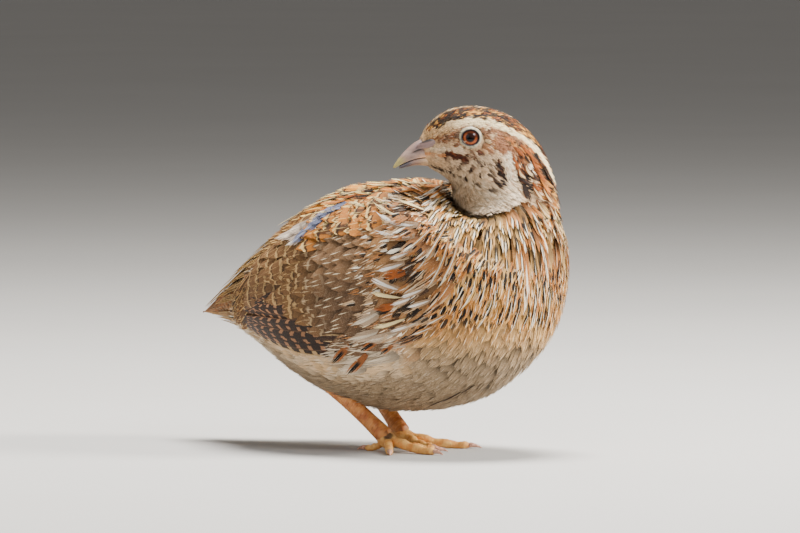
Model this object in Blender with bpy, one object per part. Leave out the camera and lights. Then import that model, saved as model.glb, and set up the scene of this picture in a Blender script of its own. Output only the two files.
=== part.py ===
"""A life-size standing coturnix quail, its head turned back over its right shoulder.

Construction axes: +X is the bird's left, -Y is the way its breast points, +Z is up, and the floor is z = 0.
Sizes are in millimetres and are scaled to metres as each mesh is made.
"""

import math

import bmesh
import bpy
import numpy as np
from mathutils import Matrix, Vector

MM = 0.001
GAP = 0.3            # clearance kept between touching pieces

# The head is turned about an upright axis through the top of the neck, and dips a little.
HEAD_TURN = -128.0   # degrees, negative is to the bird's right
HEAD_AXIS_X, HEAD_AXIS_F = 6.0, 31.0

# Rings of the head in its own frame: crown forward, crown height, chin forward, chin height, half width.
HEAD_RINGS = (
    (24.0, 98.6, 22.8, 90.2, 3.9),      # bill base
    (20.9, 103.0, 20.4, 88.7, 6.2),     # lores
    (15.9, 106.5, 17.0, 86.8, 8.6),     # brow
    (9.5, 108.0, 14.0, 84.2, 10.4),     # eyes
    (2.5, 107.6, 12.2, 81.0, 11.8),     # ears
    (-4.5, 105.0, 11.6, 78.0, 13.0),    # back of the crown
    (-10.5, 100.2, 11.8, 75.8, 14.3),   # occiput
    (-15.2, 93.8, 12.4, 74.4, 15.6),    # nape and throat
)
# Rings of the neck: left, forward, height of the centre, radius, tilt in degrees, share of the head's turn.
NECK_RINGS = (
    (6.5, 33.3, 80.6, 16.7, 26.0, 0.75),
    (4.5, 34.0, 77.0, 18.0, 20.0, 0.40),
    (1.8, 35.0, 74.3, 21.0, 23.0, 0.12),
)
# Rings of the body: back forward, back height, belly forward, belly height, half width.
BODY_RINGS = (
    (10.5, 84.4, 56.0, 54.0, 27.5),     # breast
    (5.0, 84.6, 49.5, 33.5, 31.0),
    (-2.0, 84.3, 29.0, 17.5, 32.5),     # shoulders
    (-11.5, 83.3, 5.0, 12.4, 32.5),     # deepest point of the belly
    (-22.0, 81.4, -17.0, 13.6, 30.8),
    (-33.5, 76.0, -36.0, 20.5, 27.0),   # vent
    (-45.0, 68.6, -50.0, 28.5, 21.5),   # rump
    (-57.0, 60.2, -60.5, 33.5, 15.5),
    (-69.0, 51.2, -70.0, 37.0, 10.0),
    (-82.0, 41.0, -82.0, 39.5, 3.5),    # tail tip
)
RING_EYES, RING_NAPE, RING_BREAST, RING_RUMP, RING_TIP = 3, 7, 11, 17, 20
ROWS_PER_RING = 2
BODY_SIDES = 26

EYE_FORWARD, EYE_HEIGHT, EYE_SIDE = 9.6, 98.4, 7.5
EYE_RADIUS, EYE_DEPTH = 4.3, 3.5       # in the plane of the lids, and across the head
LID_RADIUS, LID_THICK = 3.45, 0.55
MOUTH_LINE = 0.35

THIGH_PATH = (       # sideways, forward, height, radius
    (17.0, 2.0, 32.0, 13.0),
    (15.0, -11.0, 26.0, 10.0),
    (12.8, -20.0, 21.8, 6.4),
    (12.4, -25.0, 20.4, 3.2),
)
HOCK = {-1: (-12.0, -22.0, 21.4), 1: (10.5, -26.0, 22.0)}
TOE_JOINT = {-1: (-9.0, 0.0, 4.0), 1: (8.0, -8.0, 4.0)}
FOOT_TURN = {-1: 8.0, 1: 24.0}         # degrees outwards that the middle toe points
TARSUS_RADII = (3.0, 2.5, 2.2, 2.2, 2.5)
TOES = (             # name, angle outwards from the middle toe, length, base radius, tip radius
    ("2", -37.0, 14.0, 1.5, 1.1),
    ("3", 0.0, 20.5, 1.65, 1.15),
    ("4", 40.0, 15.0, 1.45, 1.05),
    ("1", 160.0, 7.0, 1.2, 0.95),
)
CLAW_LENGTH, CLAW_RADIUS = 3.6, 0.85


def unit(v):
    return v / np.linalg.norm(v, axis=-1, keepdims=True)


def turned(vector, degrees):
    c, s = math.cos(math.radians(degrees)), math.sin(math.radians(degrees))
    x, y, z = vector
    return np.array((c * x - s * y, s * x + c * y, z))


def head_point(forward, height, side=0.0):
    """A point of the head's own frame, side being to the bird's left, in construction axes."""
    x, y, z = turned((side, -forward, height), HEAD_TURN)
    return np.array((x + HEAD_AXIS_X, y - HEAD_AXIS_F, z))


def ring_table():
    """One row a ring: centre, dorsal direction, left direction, half width, half height."""
    rows = []
    for top_f, top_z, low_f, low_z, half_width in HEAD_RINGS:
        top, low = head_point(top_f, top_z), head_point(low_f, low_z)
        rows.append((*(top + low) / 2, *unit(top - low), *turned((1, 0, 0), HEAD_TURN),
                     half_width, np.linalg.norm(top - low) / 2))
    for x, forward, height, radius, tilt, share in NECK_RINGS:
        lean = math.radians(tilt)
        dorsal = turned((0, math.cos(lean), math.sin(lean)), HEAD_TURN * share)
        rows.append((x, -forward, height, *dorsal, *turned((1, 0, 0), HEAD_TURN * share), radius, radius))
    for top_f, top_z, low_f, low_z, half_width in BODY_RINGS:
        top, low = np.array((0, -top_f, top_z)), np.array((0, -low_f, low_z))
        half_height = np.linalg.norm(top - low) / 2
        rows.append((*(top + low) / 2, *unit(top - low), 1, 0, 0, half_width, half_height))
    table = np.array(rows, float)
    return np.vstack((2 * table[0] - table[1], table, 2 * table[-1] - table[-2]))


RINGS = ring_table()


def ring_at(s):
    """The row of the ring table at ring number s, on a smooth curve through all the rings."""
    i = np.clip(np.floor(s).astype(int), 0, len(RINGS) - 4)
    t = (s - i)[..., None]
    before, here, after, beyond = (RINGS[i + k] for k in range(4))
    slope, next_slope = (after - before) / 2, (beyond - here) / 2
    return (here * (1 + 2 * t) * (1 - t) ** 2 + slope * t * (1 - t) ** 2
            + after * t * t * (3 - 2 * t) + next_slope * t * t * (t - 1))


def skin(s, angle):
    """Points of the body's surface at ring s and angle, in radians round from the back to the left side."""
    s, angle = np.broadcast_arrays(np.asarray(s, float), np.asarray(angle, float))
    row = ring_at(s)
    dorsal = unit(row[..., 3:6])
    left = row[..., 6:9]
    left = unit(left - dorsal * (left * dorsal).sum(-1, keepdims=True))
    across = np.sin(angle)[..., None] * row[..., 9:10]
    up = np.cos(angle)[..., None] * row[..., 10:11]
    return row[..., 0:3] + dorsal * up + left * across


def skin_normal(s, angle, step=0.02):
    s, angle = np.broadcast_arrays(np.asarray(s, float), np.asarray(angle, float))
    round_it = skin(s, angle + step) - skin(s, angle - step)
    along_it = skin(np.minimum(s + step, RING_TIP), angle) - skin(np.maximum(s - step, 0), angle)
    return unit(np.cross(round_it, along_it))


def spine_direction(s):
    """The way the body runs, towards the tail, at ring s."""
    row = ring_at(np.array(s, float))
    return unit(np.cross(row[3:6], row[6:9]))


def material(name, colour, roughness=0.8):
    made = bpy.data.materials.new(name)
    made.use_nodes = True
    shader = made.node_tree.nodes["Principled BSDF"]
    shader.inputs["Base Color"].default_value = (*colour, 1.0)
    shader.inputs["Roughness"].default_value = roughness
    shader.inputs["Metallic"].default_value = 0.0
    return made


def new_object(name, mesh, finish, collection):
    made = bpy.data.objects.new(name, mesh)
    if finish is not None and not mesh.materials:
        mesh.materials.append(finish)
    collection.objects.link(made)
    return made


def grid_object(name, points, finish, collection):
    """A closed solid from rows of points: each row is a ring, and the first and last are filled."""
    rows, sides = points.shape[:2]
    made = bmesh.new()
    verts = [[made.verts.new(p * MM) for p in row] for row in points]
    for i in range(rows - 1):
        for j in range(sides):
            k = (j + 1) % sides
            made.faces.new((verts[i][j], verts[i][k], verts[i + 1][k], verts[i + 1][j]))
    made.faces.new(verts[0][::-1])
    made.faces.new(verts[-1])
    bmesh.ops.triangulate(made, faces=made.faces)
    mesh = bpy.data.meshes.new(name)
    made.to_mesh(mesh)
    made.free()
    mesh.shade_smooth()
    return new_object(name, mesh, finish, collection)


def body_length(name, start, end, finish, collection, grow=0.0):
    """The body between two rings, pulled in by half the gap at both cuts, or grown as a cutter."""
    count = int(round((end - start) * ROWS_PER_RING)) + 1
    s = np.linspace(start, end, count)[:, None]
    angle = np.linspace(0, 2 * math.pi, BODY_SIDES, endpoint=False)[None, :]
    points = skin(s, angle) + grow * skin_normal(s, angle)
    inset = grow if grow else -GAP / 2
    points[0] -= spine_direction(start) * inset
    points[-1] += spine_direction(end) * inset
    return grid_object(name, points, finish, collection)


def bent_length(name, start, end, finish, collection, tools):
    """The body between two rings where it bends hard: convex pieces from ring to ring, made one."""
    angle = np.linspace(0, 2 * math.pi, BODY_SIDES, endpoint=False)
    stops = np.linspace(start, end, int(round((end - start) * ROWS_PER_RING)) + 1)
    whole = None
    for near, far in zip(stops[:-1], stops[1:]):
        made = bmesh.new()
        for point in np.concatenate((skin(near, angle), skin(far, angle))):
            made.verts.new(point * MM)
        found = bmesh.ops.convex_hull(made, input=made.verts)
        bmesh.ops.delete(made, geom=list({*found["geom_interior"], *found["geom_unused"]}), context="VERTS")
        bmesh.ops.recalc_face_normals(made, faces=made.faces)
        mesh = bpy.data.meshes.new(name)
        made.to_mesh(mesh)
        made.free()
        alone = whole is None
        piece = new_object(name, mesh, finish if alone else None, collection if alone else tools)
        whole = piece if whole is None else combine(whole, piece, "UNION")
    whole.data.shade_smooth()
    return whole


def smooth_path(points, count):
    """Count points on a smooth curve through the given ones, with any further columns carried along."""
    table = np.array(points, float)
    table = np.vstack((2 * table[0] - table[1], table, 2 * table[-1] - table[-2]))
    s = np.linspace(0, len(points) - 1, count)
    i = np.minimum(s.astype(int), len(points) - 2)
    t = (s - i)[:, None]
    p = [table[i + k] for k in range(4)]
    return 0.5 * (2 * p[1] + (p[2] - p[0]) * t + (2 * p[0] - 5 * p[1] + 4 * p[2] - p[3]) * t ** 2
                  + (3 * (p[1] - p[2]) + p[3] - p[0]) * t ** 3)


def limb(name, path, finish, collection, depth=1.0, sides=12):
    """A rounded tube along rows of left, forward, height, radius; depth stretches it front to back."""
    path = np.array(path, float)
    centres = path[:, :3] * (1, -1, 1)
    radii = path[:, 3]
    along = unit(np.gradient(centres, axis=0))
    left = unit(np.cross(along, np.cross((1.0, 0, 0), along)))
    front = np.cross(along, left)
    angle = np.linspace(0, 2 * math.pi, sides, endpoint=False)
    ring = np.cos(angle)[None, :, None] * left[:, None]
    ring = ring + depth * np.sin(angle)[None, :, None] * front[:, None]
    points = centres[:, None] + radii[:, None, None] * ring
    ends = []
    for end, sign in ((0, -1), (-1, 1)):
        reach = sign * along[end] * radii[end]
        ends.append(centres[end] + 0.6 * radii[end] * ring[end] + 0.75 * reach)
    points = np.concatenate((ends[0][None], points, ends[1][None]))
    return grid_object(name, points, finish, collection)


def ball(name, centre, radius, finish, collection, squash=None, segments=18, rings=10):
    """A sphere, or a lens when squash is a direction and the half thickness along it."""
    made = bmesh.new()
    bmesh.ops.create_uvsphere(made, u_segments=segments, v_segments=rings, radius=radius * MM)
    if squash is not None:
        direction, half = squash
        aim = Vector(direction).to_track_quat("Z", "Y").to_matrix().to_4x4()
        bmesh.ops.transform(made, matrix=aim @ Matrix.Diagonal((1, 1, half / radius, 1)), verts=made.verts)
    bmesh.ops.translate(made, vec=Vector(centre) * MM, verts=made.verts)
    mesh = bpy.data.meshes.new(name)
    made.to_mesh(mesh)
    made.free()
    mesh.shade_smooth()
    return new_object(name, mesh, finish, collection)


def combine(target, tool, operation):
    """Applies a Boolean of target with one object, which is then removed."""
    step = target.modifiers.new("step", "BOOLEAN")
    step.operation = operation
    step.solver = "MANIFOLD"
    step.object = tool
    graph = bpy.context.evaluated_depsgraph_get()
    mesh = bpy.data.meshes.new_from_object(target.evaluated_get(graph))
    target.modifiers.clear()
    target.data = mesh
    used = tool.data
    bpy.data.objects.remove(tool)
    if used.users == 0:
        bpy.data.meshes.remove(used)
    return target


def largest_surface(target):
    """Keeps only the largest closed surface of the object, measured by its enclosing box."""
    made = bmesh.new()
    made.from_mesh(target.data)
    left, shells = set(made.verts), []
    while left:
        seed = left.pop()
        shell, front = {seed}, [seed]
        while front:
            for edge in front.pop().link_edges:
                for vert in edge.verts:
                    if vert not in shell:
                        shell.add(vert)
                        front.append(vert)
        left -= shell
        shells.append(shell)

    def reach(shell):
        points = np.array([v.co for v in shell])
        return np.prod(points.max(0) - points.min(0) + 1e-6)

    shells.sort(key=reach)
    for shell in shells[:-1]:
        bmesh.ops.delete(made, geom=list(shell), context="VERTS")
    made.to_mesh(target.data)
    made.free()
    return target


def make_collection(name, shown):
    made = bpy.data.collections.new(name)
    bpy.context.scene.collection.children.link(made)
    made.hide_render = not shown
    return made


def make_head(finish, parts, tools):
    head = body_length("head", 0, RING_NAPE, finish["face"], parts)
    for side in (1, -1):
        centre, out = eye_place(side)
        lids = lid_ring(f"lids_{side}", centre, out, tools)
        combine(head, lids, "UNION")
        socket = ball("socket", centre, EYE_RADIUS + GAP, None, tools, (out, EYE_DEPTH + GAP))
        combine(head, socket, "DIFFERENCE")
    combine(head, head_box("mouth_line", 20.4, 91.7, 0, (9.0, 24.0, MOUTH_LINE), 0, tools), "DIFFERENCE")
    combine(head, body_length("cut", RING_BREAST, RING_RUMP, None, tools, GAP), "DIFFERENCE")
    return largest_surface(head)


def eye_place(side):
    """Centre of an eyeball and the direction it looks, out of the head and a little forwards."""
    centre = head_point(EYE_FORWARD, EYE_HEIGHT, side * EYE_SIDE)
    ahead = head_point(EYE_FORWARD + 0.22, EYE_HEIGHT + 0.1, side * (EYE_SIDE + 1.0))
    return centre, unit(ahead - centre)


def lid_ring(name, centre, out, tools):
    """The swollen rim of bare skin that the lids make round the eye."""
    made = bmesh.new()
    major, minor = 20, 6
    rim = centre + out * (EYE_DEPTH * math.sqrt(1 - (LID_RADIUS / EYE_RADIUS) ** 2) + 0.45)
    aim = Vector(out).to_track_quat("Z", "Y")
    loops = []
    for i in range(major):
        a = 2 * math.pi * i / major
        arm = aim @ Vector((math.cos(a), math.sin(a), 0))
        loop = []
        for j in range(minor):
            b = 2 * math.pi * j / minor
            away = arm * (LID_RADIUS + LID_THICK * math.cos(b))
            loop.append((Vector(rim) + away + Vector(out) * LID_THICK * math.sin(b)) * MM)
        loops.append(loop)
    verts = [[made.verts.new(p) for p in loop] for loop in loops]
    for i in range(major):
        for j in range(minor):
            k, m = (i + 1) % major, (j + 1) % minor
            made.faces.new((verts[i][j], verts[k][j], verts[k][m], verts[i][m]))
    bmesh.ops.recalc_face_normals(made, faces=made.faces)
    mesh = bpy.data.meshes.new(name)
    made.to_mesh(mesh)
    made.free()
    return new_object(name, mesh, None, tools)


def head_box(name, forward, height, side, size, dip, tools):
    """A box of length, width and height in the head's frame, its front dipped by some degrees."""
    made = bmesh.new()
    bmesh.ops.create_cube(made, size=MM)
    aim = Matrix.Rotation(math.radians(HEAD_TURN), 4, "Z") @ Matrix.Rotation(math.radians(dip), 4, "X")
    stretch = Matrix.Diagonal((size[1], size[0], size[2], 1))
    place = Matrix.Translation(Vector(head_point(forward, height, side)) * MM)
    bmesh.ops.transform(made, matrix=place @ aim @ stretch, verts=made.verts)
    mesh = bpy.data.meshes.new(name)
    made.to_mesh(mesh)
    made.free()
    return new_object(name, mesh, None, tools)


def make_eyes(finish, parts):
    for side, word in ((1, "left"), (-1, "right")):
        centre, out = eye_place(side)
        ball(f"eye_{word}", centre, EYE_RADIUS, finish["eye"], parts, (out, EYE_DEPTH))


# Bill sections, from its base to its tip: forward, upper edge height, lower edge height, half width.
UPPER_BILL = (
    (23.0, 98.3, 92.6, 3.6), (25.2, 97.2, 92.3, 3.1), (27.0, 95.9, 91.7, 2.6),
    (29.0, 94.0, 90.9, 2.0), (30.8, 91.9, 90.0, 1.3), (32.2, 89.9, 89.2, 0.5),
)
LOWER_BILL = (
    (22.2, 92.2, 89.9, 3.2), (25.0, 91.9, 89.9, 2.7), (27.0, 91.3, 89.6, 2.1),
    (29.0, 90.5, 89.2, 1.4), (30.4, 89.7, 88.9, 0.7),
)


def bill_part(name, sections, finish, parts, tools):
    """A horny sheath: half-round sections in the head's frame, flat at the mouth, fitted to the face."""
    table = smooth_path(sections, 2 * len(sections) - 1)
    angle = np.linspace(2 * math.pi, 0, 14, endpoint=False)
    rows = []
    flat, round_side = (2, 1) if sections is UPPER_BILL else (1, 2)
    for row in table:
        edge, rise = row[flat], row[round_side] - row[flat]
        high = np.clip(np.cos(angle) * np.sign(rise), 0, 1) * rise
        rows.append([head_point(row[0], edge + h, row[3] * math.sin(a)) for a, h in zip(angle, high)])
    bill = grid_object(name, np.array(rows), finish, parts)
    combine(bill, body_length("cut", 0, RING_EYES, None, tools, GAP), "DIFFERENCE")
    if sections is UPPER_BILL:
        for side in (1, -1):
            nostril = head_box("nostril", 26.2, 94.4, side * 3.0, (2.6, 1.4, 0.6), 22, tools)
            combine(bill, nostril, "DIFFERENCE")
    return largest_surface(bill)


def make_legs(finish, parts, tools):
    legs = {}
    for side, word in ((1, "left"), (-1, "right")):
        shift = HOCK[side][1] - HOCK[-1][1]
        thigh_rows = [(side * x, f + shift * k / 3, z, r) for k, (x, f, z, r) in enumerate(THIGH_PATH)]
        thigh = limb(f"thigh_{word}", smooth_path(thigh_rows, 9), finish["belly"], parts, sides=14)
        cutter_rows = [(x, f, z, r + GAP) for x, f, z, r in smooth_path(thigh_rows, 9)]
        legs[side] = (thigh, cutter_rows)
        shank = limb(f"shank_{word}", shank_rows(side, 0.0), finish["leg"], parts, depth=1.2, sides=12)
        combine(shank, limb("cut", cutter_rows, None, tools, sides=14), "DIFFERENCE")
        combine(shank, body_length("cut", RING_BREAST, RING_RUMP, None, tools, GAP), "DIFFERENCE")
        make_foot(side, word, finish, parts, tools)
    return legs


def shank_rows(side, grow):
    """Left, forward, height and radius from the hock down to just above the ball of the foot."""
    hock, joint = np.array(HOCK[side]), np.array(TOE_JOINT[side])
    count = len(TARSUS_RADII)
    end = hock + (joint - hock) * 0.9
    rows = [(*(hock + (end - hock) * k / (count - 1)), r + grow) for k, r in enumerate(TARSUS_RADII)]
    return smooth_path(rows, 9)


def toe_rows(side, angle, length, base, tip):
    """Left, forward, height and radius along one toe, which swells at its joints and lies on the floor."""
    joint = np.array(TOE_JOINT[side])
    a = math.radians(angle + FOOT_TURN[side])
    way = np.array((side * math.sin(a), math.cos(a), 0))
    rows = []
    for k in range(7):
        t = k / 6
        radius = (base + (tip - base) * t) * (1 + 0.1 * math.cos(6 * math.pi * t))
        height = joint[2] * (1 - t) ** 2 * 0.75 + radius * 0.86
        start = joint - (0, 0, joint[2])
        rows.append((*(start + way * length * t)[:2], max(height, radius * 0.86), radius))
    return rows


def make_foot(side, word, finish, parts, tools):
    """Four toes joined at the ball of the foot, flat underneath, each with its own claw."""
    joint = np.array(TOE_JOINT[side])
    ball_rows = ((*(joint + (0, -1.2, -0.2)), 2.5), (*(joint + (0, 0.8, -0.8)), 2.3))
    foot = limb(f"foot_{word}", ball_rows, finish["leg"], parts)
    for name, angle, length, base, tip in TOES:
        rows = toe_rows(side, angle, length, base, tip)
        combine(foot, limb("toe", rows, None, tools, sides=8), "UNION")
        make_claw(f"claw_{word}_{name}", side, angle, rows[-1], finish, parts, tools)
    combine(foot, limb("cut", shank_rows(side, GAP), None, tools, depth=1.2, sides=12), "DIFFERENCE")
    trim(foot, np.zeros(3), np.array((0, 0, -1.0)))
    return largest_surface(foot)


def trim(target, point, outward):
    """Cuts off what lies beyond a plane, and closes the cut."""
    made = bmesh.new()
    made.from_mesh(target.data)
    found = bmesh.ops.bisect_plane(
        made, geom=made.verts[:] + made.edges[:] + made.faces[:], dist=1e-7,
        plane_co=Vector(point) * MM, plane_no=Vector(outward), clear_outer=True,
    )
    edges = [e for e in found["geom_cut"] if isinstance(e, bmesh.types.BMEdge)]
    bmesh.ops.holes_fill(made, edges=edges, sides=0)
    bmesh.ops.triangulate(made, faces=made.faces)
    made.to_mesh(target.data)
    made.free()
    return target


def make_claw(name, side, angle, toe_end, finish, parts, tools):
    """A blunt curved claw that grows from the toe's end, a gap away from it."""
    a = math.radians(angle + FOOT_TURN[side])
    way = np.array((side * math.sin(a), math.cos(a), 0))
    x, f, z, r = toe_end
    start = np.array((x, f, z)) + way * (0.75 * r + GAP)
    length = CLAW_LENGTH * (0.7 if name.endswith("1") else 1.0)
    rows = []
    for k in range(5):
        t = k / 4
        centre = start + way * (0.35 + length * t)
        rows.append((centre[0], centre[1], z * (1 - 0.75 * t * t) + 0.1, CLAW_RADIUS * (1 - 0.78 * t)))
    claw = limb(name, rows, finish["claw"], parts, sides=6)
    return trim(claw, np.zeros(3), np.array((0, 0, -1.0)))


# The folded wing in its own measure: a runs from the shoulder to the wing tip, b from its upper edge
# to its lower one.
WING_START, WING_END = 12.4, 18.1                   # rings of the body
WING_TOP, WING_LOW = (36.0, 96.0), (117.0, 122.0)   # degrees round the body, at the shoulder and at the tip
WING_EDGE, WING_THICK = 0.9, 2.1
WING_TIERS = (       # vanes, root a, tip a, root b, tip b (both first to last), half width, lift
    (4, 0.64, 1.00, (0.44, 0.84), (0.30, 0.80), 3.4, 1.1),      # primaries
    (6, 0.42, 0.82, (0.26, 0.92), (0.30, 0.98), 4.6, 1.2),      # secondaries
    (3, 0.30, 0.90, (0.02, 0.30), (0.04, 0.36), 4.6, 1.6),      # tertials
    (7, 0.25, 0.55, (0.16, 0.92), (0.18, 0.96), 4.9, 1.4),      # greater coverts
    (7, 0.12, 0.38, (0.10, 0.92), (0.10, 0.95), 4.9, 1.5),      # median coverts
    (6, 0.00, 0.22, (0.10, 0.90), (0.10, 0.92), 5.2, 1.5),      # lesser coverts
    (4, 0.03, 0.52, (-0.06, 0.10), (-0.10, 0.12), 4.8, 1.8),    # scapulars
)
TAIL_TIERS = (       # vanes, root ring, tip ring, degrees first to last, half width at the root, lift
    (8, 17.6, 20.0, (-64, 64), 2.5, 0.5),       # tail feathers
    (5, 17.3, 19.2, (144, 216), 3.6, 0.6),      # undertail coverts
    (6, 17.25, 19.1, (-62, 62), 3.4, 0.7),      # long uppertail coverts
    (5, 17.15, 18.3, (-66, 66), 4.2, 0.8),      # short uppertail coverts
)
VANE_STEPS = (0.0, 0.45, 0.82, 1.0)
VANE_WIDTHS = (0.75, 1.0, 0.86, 0.32)
SEED = 36


def wing_rise(a, b):
    """How far the folded wing stands off the body at a, b before its feathers are laid on it."""
    across = np.sqrt(np.sin(math.pi * np.clip(b, 0.03, 0.97)))
    return WING_EDGE + WING_THICK * across * np.sqrt(np.sin(math.pi * np.clip(a, 0.05, 0.93)))


def wing_point(a, b, height, side):
    s = WING_START + (WING_END - WING_START) * a
    top = WING_TOP[0] + (WING_TOP[1] - WING_TOP[0]) * np.clip(a, 0, 1) ** 2
    low = WING_LOW[0] + (WING_LOW[1] - WING_LOW[0]) * a
    angle = side * np.radians(top + (low - top) * b)
    return skin(s, angle) + skin_normal(s, angle) * (wing_rise(a, b) + height)[..., None]


def tail_point(ring, degrees, height):
    angle = np.radians(degrees)
    return skin(ring, angle) + skin_normal(ring, angle) * height[..., None]


def vane(name, place, root, tip, half_width, lift, depth, flip, finish, collection):
    """A feather's vane laid over a surface, its root sunk in and its tip lifted, alike on both faces."""
    t = np.array(VANE_STEPS)[:, None]
    u = np.array((1.0, 0.0, -1.0) if flip else (-1.0, 0.0, 1.0))[None, :]
    a = root[0] + (tip[0] - root[0]) * t + 0 * u
    b = root[1] + (tip[1] - root[1]) * t + 0 * u
    flat = np.zeros_like(a)
    span = np.linalg.norm(place(a, b + 0.01, flat) - place(a, b - 0.01, flat), axis=-1) / 0.02
    b = b + u * half_width * np.array(VANE_WIDTHS)[:, None] / np.maximum(span, half_width / 90)
    a = a - 0.05 * (tip[0] - root[0]) * np.abs(u) * t
    height = lift * (1.4 * t ** 0.7 - 0.4) - 0.22 * np.abs(u)
    faces = (place(a, b, height), place(a, b, flat - depth))
    made = bmesh.new()
    upper, lower = ([[made.verts.new(p * MM) for p in row] for row in face] for face in faces)
    rows, columns = a.shape
    for i in range(rows - 1):
        for j in range(columns - 1):
            here, beside, across, below = (i, j), (i, j + 1), (i + 1, j + 1), (i + 1, j)
            for three in ((here, beside, across), (here, across, below)):
                made.faces.new([upper[p][q] for p, q in three])
                made.faces.new([lower[p][q] for p, q in three[::-1]])
    border = [(0, j) for j in range(columns - 1)] + [(i, columns - 1) for i in range(rows - 1)]
    border += [(rows - 1, j) for j in range(columns - 1, 0, -1)] + [(i, 0) for i in range(rows - 1, 0, -1)]
    for (p, q), (m, n) in zip(border, border[1:] + border[:1]):
        made.faces.new((upper[m][n], upper[p][q], lower[p][q]))
        made.faces.new((upper[m][n], lower[p][q], lower[m][n]))
    mesh = bpy.data.meshes.new(name)
    made.to_mesh(mesh)
    made.free()
    return new_object(name, mesh, finish, collection)


def fuse(target, tools, pieces):
    """Makes the target and all the pieces one by a single union, then removes the pieces."""
    group = bpy.data.collections.new("fused")
    tools.children.link(group)
    for piece in pieces:
        tools.objects.unlink(piece)
        group.objects.link(piece)
    step = target.modifiers.new("feathers", "BOOLEAN")
    step.operation = "UNION"
    step.solver = "MANIFOLD"
    step.operand_type = "COLLECTION"
    step.collection = group
    graph = bpy.context.evaluated_depsgraph_get()
    mesh = bpy.data.meshes.new_from_object(target.evaluated_get(graph))
    target.modifiers.clear()
    target.data = mesh
    for piece in list(group.objects):
        used = piece.data
        bpy.data.objects.remove(piece)
        bpy.data.meshes.remove(used)
    bpy.data.collections.remove(group)
    return target


def wing_core(name, side, finish, parts):
    """The folded wing under its feathers: a smooth pad on the body's side, thickest in the middle."""
    a, b = np.meshgrid(np.linspace(0, 0.97, 10), np.linspace(0, 1, 7), indexing="ij")
    flat = np.zeros_like(a)
    upper, lower = wing_point(a, b, flat, side), wing_point(a, b, -wing_rise(a, b) - 1.2, side)
    loops = np.concatenate((upper, lower[:, ::-1]), axis=1)
    return grid_object(name, loops[:, ::-1] if side < 0 else loops, finish, parts)


def make_wings(finish, parts, tools, legs):
    for side, word in ((1, "left"), (-1, "right")):
        chance = np.random.default_rng(SEED + side)
        wing = wing_core(f"wing_{word}", side, finish["wing"], parts)
        pieces = []
        for count, root_a, tip_a, root_b, tip_b, half_width, lift in WING_TIERS:
            for k in range(count):
                share = k / (count - 1)
                root = (root_a, root_b[0] + (root_b[1] - root_b[0]) * share)
                tip = (tip_a + chance.uniform(-0.012, 0.012), tip_b[0] + (tip_b[1] - tip_b[0]) * share)
                pieces.append(vane(
                    "vane", lambda a, b, h: wing_point(a, b, h, side), root, tip, half_width,
                    lift * chance.uniform(0.92, 1.08), 0.8, side < 0, finish["wing"], tools,
                ))
        fuse(wing, tools, pieces)
        combine(wing, body_length("cut", RING_BREAST - 1, RING_TIP, None, tools, GAP), "DIFFERENCE")
        combine(wing, limb("cut", legs[side][1], None, tools, sides=14), "DIFFERENCE")
        largest_surface(wing)


def make_tail(finish, parts, tools):
    """The rump's end and the short tail, with its feathers in tiers."""
    tail = body_length("tail", RING_RUMP, RING_TIP - 0.5, finish["tail"], parts)
    chance = np.random.default_rng(SEED)
    pieces = []
    for count, root_ring, tip_ring, degrees, half_width, lift in TAIL_TIERS:
        for k in range(count):
            turn = degrees[0] + (degrees[1] - degrees[0]) * k / (count - 1)
            end = tip_ring - chance.uniform(0.0, 0.1)
            pieces.append(vane(
                "vane", tail_point, (root_ring, turn), (end, turn), half_width,
                lift * chance.uniform(0.9, 1.1), 1.0, False, finish["tail"], tools,
            ))
    fuse(tail, tools, pieces)
    return largest_surface(tail)


def make_neck(finish, parts, tools):
    neck = bent_length("neck", RING_NAPE - 0.5, RING_BREAST + 0.5, finish["neck"], parts, tools)
    combine(neck, body_length("cut", 0, RING_NAPE, None, tools, GAP), "DIFFERENCE")
    combine(neck, body_length("cut", RING_BREAST, RING_RUMP, None, tools, GAP), "DIFFERENCE")
    return largest_surface(neck)


def make_torso(finish, parts, tools, legs):
    torso = body_length("torso", RING_BREAST, RING_RUMP, finish["breast"], parts)
    for side in (1, -1):
        combine(torso, limb("cut", legs[side][1], None, tools, sides=14), "DIFFERENCE")
    return largest_surface(torso)


def stand_on_origin(parts):
    """Moves the bird so that the middle of the box round it is over the origin, its feet on the floor."""
    graph = bpy.context.evaluated_depsgraph_get()
    corners = [o.evaluated_get(graph).matrix_world @ v.co for o in parts.objects if o.type == "MESH"
               for v in o.evaluated_get(graph).data.vertices]
    low = np.array(corners).min(0)
    high = np.array(corners).max(0)
    root = bpy.data.objects.new("quail_place", None)
    parts.objects.link(root)
    for piece in parts.objects:
        if piece is not root:
            piece.parent = root
    root.location = (-(low[0] + high[0]) / 2, -(low[1] + high[1]) / 2, -low[2])


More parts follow.
